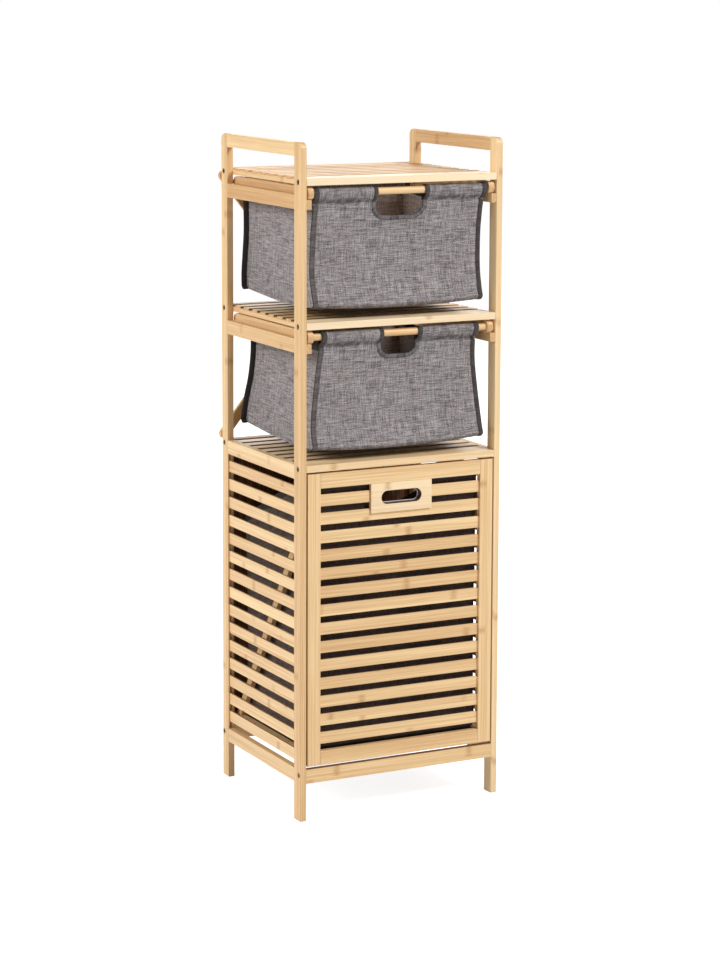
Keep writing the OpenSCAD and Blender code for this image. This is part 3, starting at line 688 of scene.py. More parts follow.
keptNodes = {
    "back_panel": skins["dark_panel_skin"],
    "brace_screws": skins["plain_steel"],
    "frame_bolts": skins["bolt_steel"],
    "rail_dowels": bamboo["deep"],
    "magnet_catch": skins["catch_plastic"],
    "strike_plate": skins["plain_steel"],
    "pivot_pins": skins["plain_steel"],
    "cradle_board": skins["stiff_board"],
    "bag_tape": skins["hook_tape"],
}
for nodeName, material in keptNodes.items():
    node = frame["nodes"][nodeName]
    node.data.materials.clear()
    node.data.materials.append(material)
print("hardware finished")

# the plate's hole gets a thin dark liner and a dark lip behind it, both painted shade; a brown bead at the plate's
# back arris and a near-white bead on the lip's arris are painted highlights; clear sizes in metres
lipRings = [
    {"size": (0.0786, 0.0226), "rim": 0.0005, "front": -0.1676, "back": -0.1616, "skin": "painted_shade_dark"},
    {"size": (0.0784, 0.0224), "rim": 0.0008, "front": -0.1624, "back": -0.1612, "skin": "painted_arris_light"},
    {"size": (0.0770, 0.0208), "rim": 0.0055, "front": -0.1615, "back": -0.1562, "skin": "painted_shade_dark"},
    {"size": (0.0756, 0.0194), "rim": 0.0013, "front": -0.1576, "back": -0.1553, "skin": "painted_highlight_white"},
]
lipMake = {"height": 0.5695, "round": 0.98, "segments": 10, "eased": 0.3}


def makeRing(ring):
    wide, high = (size / 2 + ring["rim"] for size in ring["size"])
    centre = (0, ring["front"], lipMake["height"])
    deselectAll()
    bpy.ops.mesh.primitive_plane_add(size=1, location=centre, rotation=(math.radians(90), 0, 0))
    piece = bpy.context.active_object
    bpy.ops.object.transform_apply(location=True, rotation=True, scale=True)
    editAll(piece)
    bpy.ops.transform.resize(value=(2 * wide, 1, 2 * high), center_override=centre)
    bpy.ops.mesh.bevel(offset=high * lipMake["round"], segments=lipMake["segments"], affect="VERTICES")
    selectAll()
    bpy.ops.mesh.inset(thickness=ring["rim"])
    bpy.ops.mesh.delete(type="FACE")
    selectAll()
    bpy.ops.mesh.extrude_region_move(TRANSFORM_OT_translate={"value": (0, ring["back"] - ring["front"], 0)})
    selectAll()
    bpy.ops.mesh.normals_make_consistent(inside=False)
    leaveEdit()
    limits = {"limit_method": "ANGLE", "angle_limit": math.radians(40)}
    applyModifier(piece, "Ease", "BEVEL", width=lipMake["eased"] * ring["rim"], segments=2, **limits)
    smoothFaces(piece, 50)
    piece.data.materials.append(skins[ring["skin"]])
    return piece


lipParts = [makeRing(ring) for ring in lipRings]
deselectAll()
for part in lipParts:
    part.select_set(True)
bpy.context.view_layer.objects.active = lipParts[0]
bpy.ops.object.join()
lip = bpy.context.active_object
lip.name = "hand_hole_lip"
hand(lip, "hamper_door")
print("hand hole lip made")


clothLook = {
    "thread": 0.00125,  # metres between threads
    "slubLong": 34.0,  # thick and thin places to the metre along a thread
    "slubStep": 7.31,  # from one thread's slubs to the next one's
    "layers": {  # fineness along and across, detail
        "weftBroad": ((16.0, 560.0, 1.0),),
        "patch": ((22.0, 16.0, 1.0),),
        "speck": ((760.0, 900.0, 1.0), 1.0),
        "pucker": ((105.0, 60.0, 3.0),),
    },
    "warmScale": (3.0, 1.0, 5.0),
    "warmSpan": (0.5, 0.7, 0.0, 0.6),
    "slubStart": -2.70,
    "slubShares": {"weftSlub": 1.35, "warpSlub": 1.0, "weftBroad": 0.45, "speck": 2.6},
    "toneStart": -0.824,
    "toneShares": {"slubs": 1.0, "shown": 2.0, "patch": 0.2, "weave": 0.35},
    "puckerSpan": (0.42, 0.58, 0.75, 0.0),
    "heightOfTone": 0.5,
    "roughSpan": (0.3, 1.5, 0.96, 0.82),
    "bump": (0.0003, 0.7),
    "surface": {"Sheen Weight": 0.12, "Sheen Roughness": 0.5, "Specular IOR Level": 0.3},
}


def wovenGroup(look):
    group, given, out = newGroup(
        "wovenCloth",
        [("Flat", "Vector"), ("Light", "Color"), ("Dark", "Color"), ("Warm", "Color"),
         ("Streaks", "Float", 1.0), ("Crease", "Float", 0.0), ("Puckers", "Float", 1.0)],
        [("Color", "Color"), ("Height", "Float")],
    )
    flat = given["Flat"]
    values = noiseLayers(group, flat, look["layers"])
    threads = partsOf(group, scaled(group, flat, (1 / look["thread"],) * 3))
    warpAt, weftAt = (calc(group, "FLOOR", threads[i]) for i in (0, 1))
    warpWave, weftWave = (ribbed(group, threads[i], math.pi) for i in (0, 1))
    over = calc(group, "FLOORED_MODULO", calc(group, "ADD", warpAt, weftAt), 2.0)
    under = calc(group, "SUBTRACT", 1.0, over)
    # every thread has its own thick and thin places
    parts = partsOf(group, flat)
    longX, longY = (times(group, parts[i], look["slubLong"]) for i in (0, 1))
    stepX, stepY = (times(group, at, look["slubStep"]) for at in (warpAt, weftAt))
    weftLine, warpLine = vectorOf(group, longX, stepY, 2.0), vectorOf(group, stepX, longY, 9.0)
    even = (1.0, 1.0, 1.0)
    values["weftSlub"] = noised(group, weftLine, even, 2.0, 0.6)
    values["warpSlub"] = noised(group, warpLine, even, 2.0, 0.6)
    warmth = noised(group, weftLine, look["warmScale"], 1.0)

    def showing(weft, warp):
        return calc(group, "MULTIPLY_ADD", over, weft, times(group, under, warp))

    values["weave"] = showing(weftWave, warpWave)
    values["shown"] = showing(values["weftSlub"], values["warpSlub"])
    slubs = weighted(group, look["slubStart"], values, look["slubShares"])
    values["slubs"] = times(group, slubs, given["Streaks"])
    tone = weighted(group, look["toneStart"], values, look["toneShares"], clamp=True)
    colour = mixed(group, tone, given["Dark"], given["Light"])
    colour = mixed(group, ranged(group, warmth, *look["warmSpan"]), colour, given["Warm"])
    broken = times(group, given["Puckers"], ranged(group, values["pucker"], *look["puckerSpan"]))
    # painted shade in creases, broken up by puckers
    foldShadePainted = times(group, given["Crease"], calc(group, "SUBTRACT", 1.0, broken))
    fillInputs(group, out, {
        "Color": mixed(group, foldShadePainted, colour, given["Dark"]),
        "Height": calc(group, "MULTIPLY_ADD", tone, look["heightOfTone"], values["weave"]),
    })
    return group


wovenCloth = wovenGroup(clothLook)


def clothMaterial(name, light, dark, warm, streaks=1.0, puckers=1.0):
    material, tree, shader = newMaterial(name)
    made = useGroup(tree, wovenCloth, {
        "Flat": readFlat(tree), "Light": srgb(*light), "Dark": srgb(*dark), "Warm": srgb(*warm),
        "Streaks": streaks, "Crease": readAttribute(tree, "foldShadePainted"), "Puckers": puckers,
    })
    fillInputs(tree, shader, {
        "Base Color": made["Color"], "Roughness": ranged(tree, made["Height"], *clothLook["roughSpan"]),
        "Normal": bumped(tree, made["Height"], *clothLook["bump"]), **clothLook["surface"],
    })
    return material


tapeLook = {
    "ribEvery": 0.0009,  # metres
    # pleat gives darker and lighter patches: painted shade of small pleats
    "layers": {"fuzz": ((220.0, 900.0, 1.0),), "pleat": ((170.0, 60.0, 1.0),)},
    "middle": 0.006,  # metres on the tape's map
    "edgeShadeSpan": (0.0024, 0.0046, 0.0, 0.55),
    "pleatMean": 0.42,
    "shares": {"rib": 0.35, "fuzz": 0.4, "rim": -1.0},
    "toneSpan": (0.1, 0.9),
    "roughSpan": (0.0, 1.0, 0.9, 0.72),
    "bump": (0.00022, 0.6),
    "surface": {"Sheen Weight": 0.1, "Specular IOR Level": 0.3},
}


def tapeMaterial(name, light, dark, pleats=1.0):
    # grosgrain binding: fine ribs across the tape
    material, tree, shader = newMaterial(name)
    flat = readFlat(tree)
    values = noiseLayers(tree, flat, tapeLook["layers"])
    parts = partsOf(tree, flat)
    values["rib"] = ribbed(tree, parts[0], math.pi / tapeLook["ribEvery"])
    middle = calc(tree, "ABSOLUTE", calc(tree, "SUBTRACT", parts[1], tapeLook["middle"]))
    # painted shade: darker towards both edges of the tape, where it folds into the seam
    values["rim"] = ranged(tree, middle, *tapeLook["edgeShadeSpan"])
    shares = {**tapeLook["shares"], "pleat": pleats}
    tone = weighted(tree, -tapeLook["pleatMean"] * pleats, values, shares)
    tone = ranged(tree, tone, *tapeLook["toneSpan"])
    fillInputs(tree, shader, {
        "Base Color": mixed(tree, tone, srgb(*dark), srgb(*light)),
        "Roughness": ranged(tree, values["rib"], *tapeLook["roughSpan"]),
        "Normal": bumped(tree, values["rib"], *tapeLook["bump"]), **tapeLook["surface"],
    })
    return material


basketCloth = clothMaterial("basket_cloth", (188, 182, 183), (84, 79, 81), (136, 115, 101))
# the lining is much lighter than the outer cloth: painted light on the inner faces and on the floor board's cover
paintedLightLining = clothMaterial("basket_lining_painted_light", (240, 227, 219), (158, 143, 136), (182, 156, 138))
# the bag cloth's dark tone is also the colour of the painted shade on its front
bagCloth = clothMaterial("bag_cloth", (122, 106, 101), (50, 33, 21), (94, 66, 47), 0.6, 0.0)
darkTape = tapeMaterial("dark_tape", (84, 77, 76), (48, 43, 42))
greyTape = tapeMaterial("grey_tape", (120, 116, 118), (66, 63, 65), 2.0)
# a lighter copy of the binding tape for the front-left seam: painted light
litSeamTape = tapeMaterial("seam_tape", (120, 114, 115), (60, 56, 57))
bagTapeTrim = tapeMaterial("bag_tape_trim", (60, 57, 59), (36, 34, 35))


def sheetGrid(name, columns, rows, shape, flat):
    # a grid whose points go to shape(u, v), with its own map in metres
    deselectAll()
    bpy.ops.mesh.primitive_grid_add(x_subdivisions=columns, y_subdivisions=rows, size=1, location=(0, 0, 0))
    piece = bpy.context.active_object
    piece.name = name
    mesh = piece.data
    mesh.name = name
    at = [(v.co.x + 0.5, v.co.y + 0.5) for v in mesh.vertices]
    for vertex, (u, v) in zip(mesh.vertices, at):
        vertex.co = shape(u, v)
    layer = mesh.uv_layers.active or mesh.uv_layers.new(name="UVMap")
    layer.name = "UVMap"
    for loop in mesh.loops:
        layer.data[loop.index].uv = flat(*at[loop.vertex_index])
    return piece


def closeTube(piece):
    editAll(piece)
    bpy.ops.mesh.remove_doubles(threshold=0.000005)
    bpy.ops.mesh.fill_holes(sides=0)
    selectAll()
    bpy.ops.mesh.normals_make_consistent(inside=False)
    leaveEdit()


def thicken(piece, thickness, lining=0):
    # lining 1 gives the inner face the piece's second material
    applyModifier(piece, "Wall", "SOLIDIFY", thickness=thickness, offset=0, material_offset=lining)
    smoothFaces(piece, 60)


# a folded tape: across it from its free edge, and off the cloth, in metres
tapeHalf = [(-0.0008, 0.0010), (0.0001, 0.0017), (0.0040, 0.0018), (0.0082, 0.0017), (0.0094, 0.0012)]
tapeSection = [(-0.0010, 0.0), *tapeHalf, *((across, -lift) for across, lift in reversed(tapeHalf))]
tapeMapWidth = 0.022


def narrowed(factor):
    return [(across * factor, lift * 0.9) for across, lift in tapeSection]


def bandAlong(name, stations, surface, section=tapeSection):
    # a tape folded over an edge: stations are ((a, b), (na, nb)) on a surface(a, b, lift)
    columns, rows = len(section), len(stations) - 1
    lengths = lengthsAlong([spot for spot, _ in stations])

    def shape(u, v):
        (a, b), (na, nb) = stations[round(v * rows)]
        across, lift = section[round(u * columns) % columns]
        return surface(a + na * across, b + nb * across, lift)

    def flat(u, v):
        return lengths[round(v * rows)], u * tapeMapWidth

    piece = sheetGrid(name, columns, rows, shape, flat)
    closeTube(piece)
    smoothFaces(piece, 60)
    return piece


stitchMake = {
    "size": (0.00055, 0.00045, 0.0031),  # metres
    "every": 0.0046,
    "reach": 0.0015,  # half of what it spans on the cloth
    "onCloth": 0.0013,
    "onTape": 0.0020,
    "inTape": 0.006,  # from the tape's edge
    "besideSleeve": 0.0012,
    "sleeveEnds": 0.0105,  # clear of the hand hole and of the sleeve's end
    "ringIn": 0.0074,
    "seamEnds": (0.002, 0.006),
}


def stitchTemplate(size):
    deselectAll()
    bpy.ops.mesh.primitive_uv_sphere_add(segments=6, ring_count=4, radius=0.5)
    stitch = bpy.context.active_object
    editAll(stitch)
    bpy.ops.transform.resize(value=size)
    leaveEdit()
    return stitch


stitchShape = stitchTemplate(stitchMake["size"])


def sewLine(name, runs, surface, lift):
    # short raised stitches along lines on a surface
    build = bmesh.new()
    every = stitchMake["every"]
    for run in runs:
        lengths = lengthsAlong(run)
        for step in range(int(lengths[-1] / every)):
            (a, b), here, there = placeAlong(run, lengths, (step + 0.5) * every)
            reach = stitchMake["reach"] / max(math.dist(here, there), 1e-9)
            da, db = (there[0] - here[0]) * reach, (there[1] - here[1]) * reach
            ahead, behind = surface(a + da, b + db, lift), surface(a - da, b - db, lift)
            turn = (ahead - behind).to_track_quat("Z", "Y").to_matrix().to_4x4()
            copy = stitchShape.data.copy()
            copy.transform(Matrix.Translation((ahead + behind) / 2) @ turn)
            build.from_mesh(copy)
            bpy.data.meshes.remove(copy)
    mesh = bpy.data.meshes.new(name)
    build.to_mesh(mesh)
    build.free()
    piece = linked(name, mesh)
    smoothFaces(piece, 80)
    return piece


# walls are curves of height share, 0 at the floor and 1 at the stitch line under the rods
basketShapes = {
    "upper_basket": {
        "rodZ": 1.11175,
        "stitchDrop": 0.019,
        "sleeveHalf": 0.1706,
        "floorZ": 0.9125,
        "floorSag": 0.0052,
        "backRise": 0.005,
        "sideSag": 0.0068,
        "rightRise": 0.0,
        "holeHalf": 0.0475,
        "holeDrop": 0.045,
        "holeRound": 0.022,
        "halfWidth": [(0, 0.1590), (0.3, 0.1600), (0.65, 0.1592), (1, 0.1588)],
        "frontY": [(0, -0.158), (0.12, -0.150), (0.32, -0.142), (0.65, -0.1435), (0.85, -0.149), (1, -0.1545)],
        "backY": [(0, 0.139), (0.15, 0.1385), (0.35, 0.133), (0.6, 0.129), (0.85, 0.1302), (1, 0.1315)],
        "seed": 3.0,
    },
    "lower_basket": {
        "rodZ": 0.86175,
        "stitchDrop": 0.018,
        "sleeveHalf": 0.1555,
        "floorZ": 0.6625,
        "floorSag": 0.0062,
        "backRise": 0.0078,
        "sideSag": 0.0064,
        "rightRise": 0.0020,
        "holeHalf": 0.035,
        "holeDrop": 0.040,
        "holeRound": 0.018,
        "halfWidth": [(0, 0.1610), (0.2, 0.1602), (0.49, 0.1548), (0.77, 0.1490), (1, 0.1455)],
        "frontY": [(0, -0.160), (0.2, -0.1495), (0.49, -0.1455), (0.77, -0.146), (1, -0.1520)],
        "backY": [(0, 0.140), (0.17, 0.1335), (0.34, 0.1265), (0.52, 0.1205), (0.75, 0.1215), (1, 0.129)],
        "seed": 11.0,
    },
}
basketMake = {
    "rods": {"front": -0.1565, "back": 0.1315},
    "sleeveRadius": 0.0078,  # middle of the cloth round a rod
    "sleeveEnds": (0.0052, 0.0009),  # the loose end and the end that runs into the wall
    "roll": 0.007,  # round between wall and floor
    "cloth": 0.0018,
    "columns": 84,
    "rows": (24, 44, 20, 34, 20, 36, 24),
    "turnSpan": (0.014, 0.004),  # close rows above and beyond the turn to the floor
    "sideRows": (60, 48),
    "holeSlack": 1.03,  # the wall bulges, so its hole lies a little further along it
    "holeGrow": 0.003,  # the cloth is cut wider than the tape round the hole
    "floorFade": (0.012, 0.002),  # where the seams draw in above the floor
    "sleeveFade": 0.003,
    "seamEnds": (0.0005, 0.001),  # short of the stitches and of the floor
    "sagLean": (1.3, 0.6),  # the floor sags deepest a little before its middle
}
basketFolds = {  # in metres
    "wall": {
        "pucker": (0.0022, 0.008), "groove": (0.0030, 0.0042), "puff": (0.0009, 0.009, 0.004),
        "folds": [(0.0016, 11, 9, 0), (0.0005, 42, 36, 5)],  # depth, fineness across and along, seed
    },
    "sleeve": {
        "pucker": (0.0018, 0.009), "groove": (0.0030, 0.0050), "puff": (0.0012, 0.012, 0.006),
        "folds": [(0.0006, 30, 20, 2)],
    },
    "puckers": (110, 12, 9),
    "footFade": 0.08,  # height share above which the folds are full
    "seamFade": 0.9,  # share of the width up to which they are full
    "sagPower": 2.2,
    "floorRidge": (0.0009, 0.0095, 0.0015),  # the edge of the stiffened floor, high, above the turn, wide
    "drawnIn": 0.0035,  # the walls between their seams
    # painted shade along the stitches, at the turns to the floor and on the sleeves
    "stitchShade": (0.7, 0.003),
    "turnShade": (0.85, 0.0048, 0.0038),
    "sleeveShade": (0.30, 0.70, 0.0045, 0.0048),
}
sideMake = {
    "inset": 0.0006,
    "drawnIn": 0.006,
    "bow": (0.08, 0.7),
    "wave": (0.0013, 5, 16),
    "rimDrop": 0.007,
    "rimFrom": 0.7,
    "footDrop": 0.0015,
    "above": 0.002,  # over the stitch line
    "crowd": 1.12,  # rows closer at the foot
    "hemInset": 0.004,  # share of the depth
}
# how far the bound seams stand out beside the walls, and how wide their tape is
basketSeams = {"front": (0.0090, narrowed(0.95)), "back": (0.0100, narrowed(1.05))}
baseMake = {"half": 0.1515, "inset": 0.0105, "corner": (0.012, 0.86), "lift": 0.0026, "thick": 0.0026,
            "uneven": (0.0004, 20), "mapLong": 0.28}


def heightShare(shape, z):
    top = shape["rodZ"] - shape["stitchDrop"]
    return (z - shape["floorZ"]) / (top - shape["floorZ"])


def halfWidthAt(shape, z):
    return curveValue(shape["halfWidth"], clamped(heightShare(shape, z)))


def wallLine(shape, key, z):
    # where the front or back wall stands at height z, round at its foot
    roll = basketMake["roll"]
    share = max(heightShare(shape, z), heightShare(shape, shape["floorZ"] + roll))
    dip = max(0.0, roll - (z - shape["floorZ"]))
    inward = roll - math.sqrt(max(0.0, roll * roll - dip * dip))
    return curveValue(shape[key], share) + (inward if key == "frontY" else -inward)


def sleeveLine(shape, end):
    # over the rod from the stitch line behind to the stitch line in front of it
    rodY, rodZ, radius = basketMake["rods"][end], shape["rodZ"], basketMake["sleeveRadius"]
    stitchY, stitchZ = shape[end + "Y"][-1][1], rodZ - shape["stitchDrop"]
    middle = math.atan2(stitchZ - rodZ, stitchY - rodY)
    half = math.acos(radius / math.hypot(stitchY - rodY, stitchZ - rodZ))
    loose, joined = basketMake["sleeveEnds"]
    behind, ahead = (loose, joined) if end == "front" else (joined, loose)
    points = [(stitchY + behind, stitchZ)]
    for angle in evenly(middle + half, middle + 2 * math.pi - half, 24):
        points.append((rodY + radius * math.cos(angle), rodZ + radius * math.sin(angle)))
    return points + [(stitchY - ahead, stitchZ)]


def basketPath(shape):
    # the long strip of cloth: front sleeve, front wall, floor, back wall, back sleeve
    floorZ, roll = shape["floorZ"], basketMake["roll"]
    heights = evenly(shape["rodZ"] - shape["stitchDrop"], floorZ + roll, 40)
    heights += [floorZ + roll * (1 - math.sin(turn)) for turn in evenly(0, math.pi / 2, 8)[1:]]
    front = [(wallLine(shape, "frontY", z), z) for z in heights[1:]]
    back = [(wallLine(shape, "backY", z), z) for z in reversed(heights)]
    floor = [(y, floorZ) for y in evenly(front[-1][0], back[0][0], 30)[1:-1]]
    points, marks = sleeveLine(shape, "front"), {}
    for mark, part in (("frontStitch", front), ("floorStart", floor), ("floorEnd", back)):
        marks[mark] = len(points) - (mark != "floorEnd")
        points += part
    marks["backStitch"] = len(points) - 1
    points += sleeveLine(shape, "back")
    arcs = lengthsAlong(points)
    return points, arcs, {key: arcs[index] for key, index in marks.items()}


def basketSurface(shape):
    # returns surface(x, s, lift) on that strip; s is metres along it
    points, arcs, marks = basketPath(shape)
    seed, nearby = shape["seed"], 0.0012

    def locate(s):
        return placeAlong(points, arcs, min(max(s, 0.0), arcs[-1]))[0]

    def grainy(x, s, fineX, fineS, more):
        return noise.noise(Vector((x * fineX, s * fineS, seed + more)))

    def surface(x, s, lift=0.0):
        y, z = locate(s)
        before, after = locate(s - nearby), locate(s + nearby)
        along = Vector((after[0] - before[0], after[1] - before[1])).normalized()
        outward = Vector((along.y, -along.x))
        share = clamped(heightShare(shape, z))
        across = min(abs(x) / curveValue(shape["halfWidth"], share), 1.0)
        onWall = marks["frontStitch"] < s < marks["backStitch"]
        kind = basketFolds["wall" if onWall else "sleeve"]
        toStitch = min(abs(s - marks["frontStitch"]), abs(s - marks["backStitch"]))
        pucker = grainy(x, s, *basketFolds["puckers"])
        deep, reach = kind["pucker"]
        fold = deep * (pucker if onWall else max(0.0, pucker)) * math.exp(-toStitch / reach)
        fold -= kind["groove"][0] * bell(toStitch, kind["groove"][1])
        puff, away, wide = kind["puff"]  # the cloth rolls out again beside the stitches
        fold += puff * bell(toStitch - away, wide)
        folds = [(depth, grainy(x, s, *fine)) for depth, *fine in kind["folds"]]
        sag = 0.0
        if onWall:
            wall = ease(0.0, basketFolds["footFade"], share)
            inner = ease(1.0, basketFolds["seamFade"], across)
            fold += sum(depth * wave for depth, wave in folds) * inner * wall
            high, above, wide = basketFolds["floorRidge"]
            toRidge = min(abs(s - marks["floorStart"] + above), abs(s - marks["floorEnd"] - above))
            fold += high * bell(toRidge, wide)
            fold -= basketFolds["drawnIn"] * (1 - across**2) * math.sin(math.pi * share) * wall
            sag = shape["floorSag"] * (1 - across**2) * (1 - share) ** basketFolds["sagPower"]
        else:
            fold += sum(depth * max(0.0, wave) for depth, wave in folds)
        offset = outward * (fold + lift)
        return Vector((x, y + offset.x, z - sag + offset.y))

    return surface, arcs[-1], marks


def stripRows(marks, length):
    # row places along the strip, close together where it bends
    above, beyond = basketMake["turnSpan"]
    start, end = marks["floorStart"], marks["floorEnd"]
    stops = [0.0, marks["frontStitch"], start - above, start + beyond]
    stops += [end - beyond, end + above, marks["backStitch"], length]
    places = []
    for low, high, count in zip(stops, stops[1:], basketMake["rows"]):
        places += evenly(low, high, count)[:-1]
    return places + [length]


def insideHole(shape, x, s, bottom, grow):
    # the hand hole on the flat strip: straight sides and round lower corners
    half, radius = shape["holeHalf"] + grow, shape["holeRound"] + grow
    bottom += grow
    x = abs(x)
    if x > half or s > bottom:
        return False
    if x > half - radius and s > bottom - radius:
        return math.hypot(x - half + radius, s - bottom + radius) < radius
    return True


def cutHandHole(strip, shape, bottom):
    makeActive(strip)
    bpy.ops.object.mode_set(mode="EDIT")
    bpy.ops.mesh.select_mode(type="FACE")
    build = bmesh.from_edit_mesh(strip.data)
    layer = build.loops.layers.uv.active
    for face in build.faces:
        middle = sum((loop[layer].uv for loop in face.loops), Vector((0, 0))) / len(face.loops)
        face.select = insideHole(shape, middle.x, middle.y, bottom, basketMake["holeGrow"])
    bmesh.update_edit_mesh(strip.data)
    bpy.ops.mesh.delete(type="FACE")
    leaveEdit()


def paintFoldShade(mesh, marks):
    # painted shade: darker along the stitches, on the sleeves and at the turns to the floor
    darkness = [0.0] * len(mesh.vertices)
    layer = mesh.uv_layers["UVMap"].data
    for loop in mesh.loops:
        s = layer[loop.index].uv.y
        below = min(s - marks["frontStitch"], marks["backStitch"] - s)
        if below > 0:
            dark, wide = basketFolds["stitchShade"]
            turnDark, above, turnWide = basketFolds["turnShade"]
            toTurn = min(abs(s - marks["floorStart"] + above), abs(s - marks["floorEnd"] - above))
            value = dark * bell(below, wide) + turnDark * bell(toTurn, turnWide)
        else:
            even, dark, away, wide = basketFolds["sleeveShade"]
            value = even + dark * bell(below + away, wide)
        darkness[loop.vertex_index] = value
    writeValues(mesh, "foldShadePainted", "POINT", darkness)


def finishCloth(piece, thickness):
    piece.data.materials.append(basketCloth)
    # inner faces take the lining: painted light
    piece.data.materials.append(paintedLightLining)
    thicken(piece, thickness, 1)


def makeStrip(name, shape, surface, length, marks, holeBottom):
    rows = stripRows(marks, length)

    def halfAt(s):
        if not marks["frontStitch"] < s < marks["backStitch"]:
            return shape["sleeveHalf"]
        begin, done = basketMake["floorFade"]
        floorward = ease(marks["floorStart"] - begin, marks["floorStart"] - done, s)
        floorward *= ease(marks["floorEnd"] + begin, marks["floorEnd"] + done, s)
        flange = basketSeams["front" if s < length / 2 else "back"][0]
        wide = halfWidthAt(shape, surface(0.0, s).z) + flange * (1 - floorward)
        toStitch = min(s - marks["frontStitch"], marks["backStitch"] - s)
        return wide + (shape["sleeveHalf"] - wide) * ease(basketMake["sleeveFade"], 0.0, toStitch)

    def flat(u, v):
        s = rows[round(v * (len(rows) - 1))]
        return halfAt(s) * (1 - 2 * u), s

    def stripShape(u, v):
        return surface(*flat(u, v))

    strip = sheetGrid(name + "_strip", basketMake["columns"], len(rows) - 1, stripShape, flat)
    cutHandHole(strip, shape, holeBottom)
    paintFoldShade(strip.data, marks)
    finishCloth(strip, basketMake["cloth"])
    hand(strip, name, None, [name + "_cloth"])


def sideSurface(shape, side):
    # returns point(a, z, lift) on a side wall; a goes from 0 in front to 1 at the back
    deep, fineA, fineZ = sideMake["wave"]
    raised, bowPower = sideMake["bow"]

    def point(a, z, lift=0.0):
        share = clamped(heightShare(shape, z))
        front = wallLine(shape, "frontY", z) + sideMake["inset"]
        back = wallLine(shape, "backY", z) - sideMake["inset"]
        middle = 4 * a * (1 - a)
        bow = math.sin(math.pi * min(share + raised, 1.0)) ** bowPower
        x = curveValue(shape["halfWidth"], share) - sideMake["drawnIn"] * middle * bow
        x += deep * middle * noise.noise(Vector((a * fineA, z * fineZ, shape["seed"] + side * 3)))
        drop = sideMake["rimDrop"] * middle * ease(sideMake["rimFrom"], 1.0, share)
        drop += sideMake["footDrop"] * middle * (1 - share) ** 2
        return Vector((side * (x + lift), front + (back - front) * a, z - drop))

    return point


def makeSide(name, shape, surface, length, marks, side):
    word = "left" if side < 0 else "right"
    point = sideSurface(shape, side)
    topZ = shape["rodZ"] - shape["stitchDrop"] + sideMake["above"]
    deep, high = shape["backY"][0][1] - shape["frontY"][0][1], topZ - shape["floorZ"]

    def wallShape(u, v):
        return point(1 - u if side < 0 else u, shape["floorZ"] + high * v ** sideMake["crowd"])

    wall = sheetGrid(f"{name}_side_{word}", *basketMake["sideRows"], wallShape, lambda u, v: (u * deep, v * high))
    finishCloth(wall, basketMake["cloth"])
    hand(wall, name)
    inset = sideMake["hemInset"]
    stations = [((a, topZ), (0.0, -1.0)) for a in evenly(inset, 1 - inset, 60)]
    hand(bandAlong(f"{name}_side_hem_{word}", stations, point), name, darkTape)
    # bound seams where the front and back walls meet the side
    atStitch, atFloor = basketMake["seamEnds"]
    for end, start, stop in (
        ("front", marks["frontStitch"] + atStitch, marks["floorStart"] - atFloor),
        ("back", marks["backStitch"] - atStitch, marks["floorEnd"] + atFloor),
    ):
        flange, section = basketSeams[end]
        along = [(halfWidthAt(shape, surface(0.0, s).z) + flange, s) for s in evenly(start, stop, 70)]
        stations = [((side * x, s), (-side, 0.0)) for x, s in along]
        tape = bandAlong(f"{name}_seam_tape_{end}_{word}", stations, surface, section)
        # the front-left seam tape is the lighter copy: painted light
        hand(tape, name, litSeamTape if (end, side) == ("front", -1) else darkTape)
    # sleeve ends bound in tape
    for end, start, stop in (("front", 0.0, marks["frontStitch"]), ("back", marks["backStitch"], length)):
        stations = [((side * shape["sleeveHalf"], s), (-side, 0.0)) for s in evenly(start, stop, 40)]
        ring = bandAlong(f"{name}_sleeve_tape_{end}_{word}", stations, surface)
        hand(ring, name, darkTape)


def holeOutline(shape, bottom):
    # stations round the hand hole, from the sleeve's loose edge down and up again
    half, radius = shape["holeHalf"], shape["holeRound"]
    left = [((-half, s), (-1.0, 0.0)) for s in evenly(0.0, bottom - radius, 40)[:-1]]
    for angle in evenly(math.pi, math.pi * 1.5, 12):
        nx, ns = math.cos(angle), -math.sin(angle)
        left.append(((radius - half + radius * nx, bottom - radius + radius * ns), (nx, ns)))
    floor = [((x, bottom), (0.0, 1.0)) for x in evenly(radius - half, half - radius, 16)[1:-1]]
    return left + floor + [((-x, s), (-nx, ns)) for (x, s), (nx, ns) in reversed(left)]


def bindHole(name, outline, surface, marks):
    binding = bandAlong(name + "_hand_hole_tape", outline, surface, narrowed(0.8))
    hand(binding, name, greyTape)
    binding.data.materials.append(darkTape)  # over the rod
    layer = binding.data.uv_layers["UVMap"].data
    far = max(item.uv.x for item in layer)
    for face in binding.data.polygons:
        along = sum(layer[index].uv.x for index in face.loop_indices) / len(face.loop_indices)
        face.material_index = 1 if min(along, far - along) < marks["frontStitch"] else 0


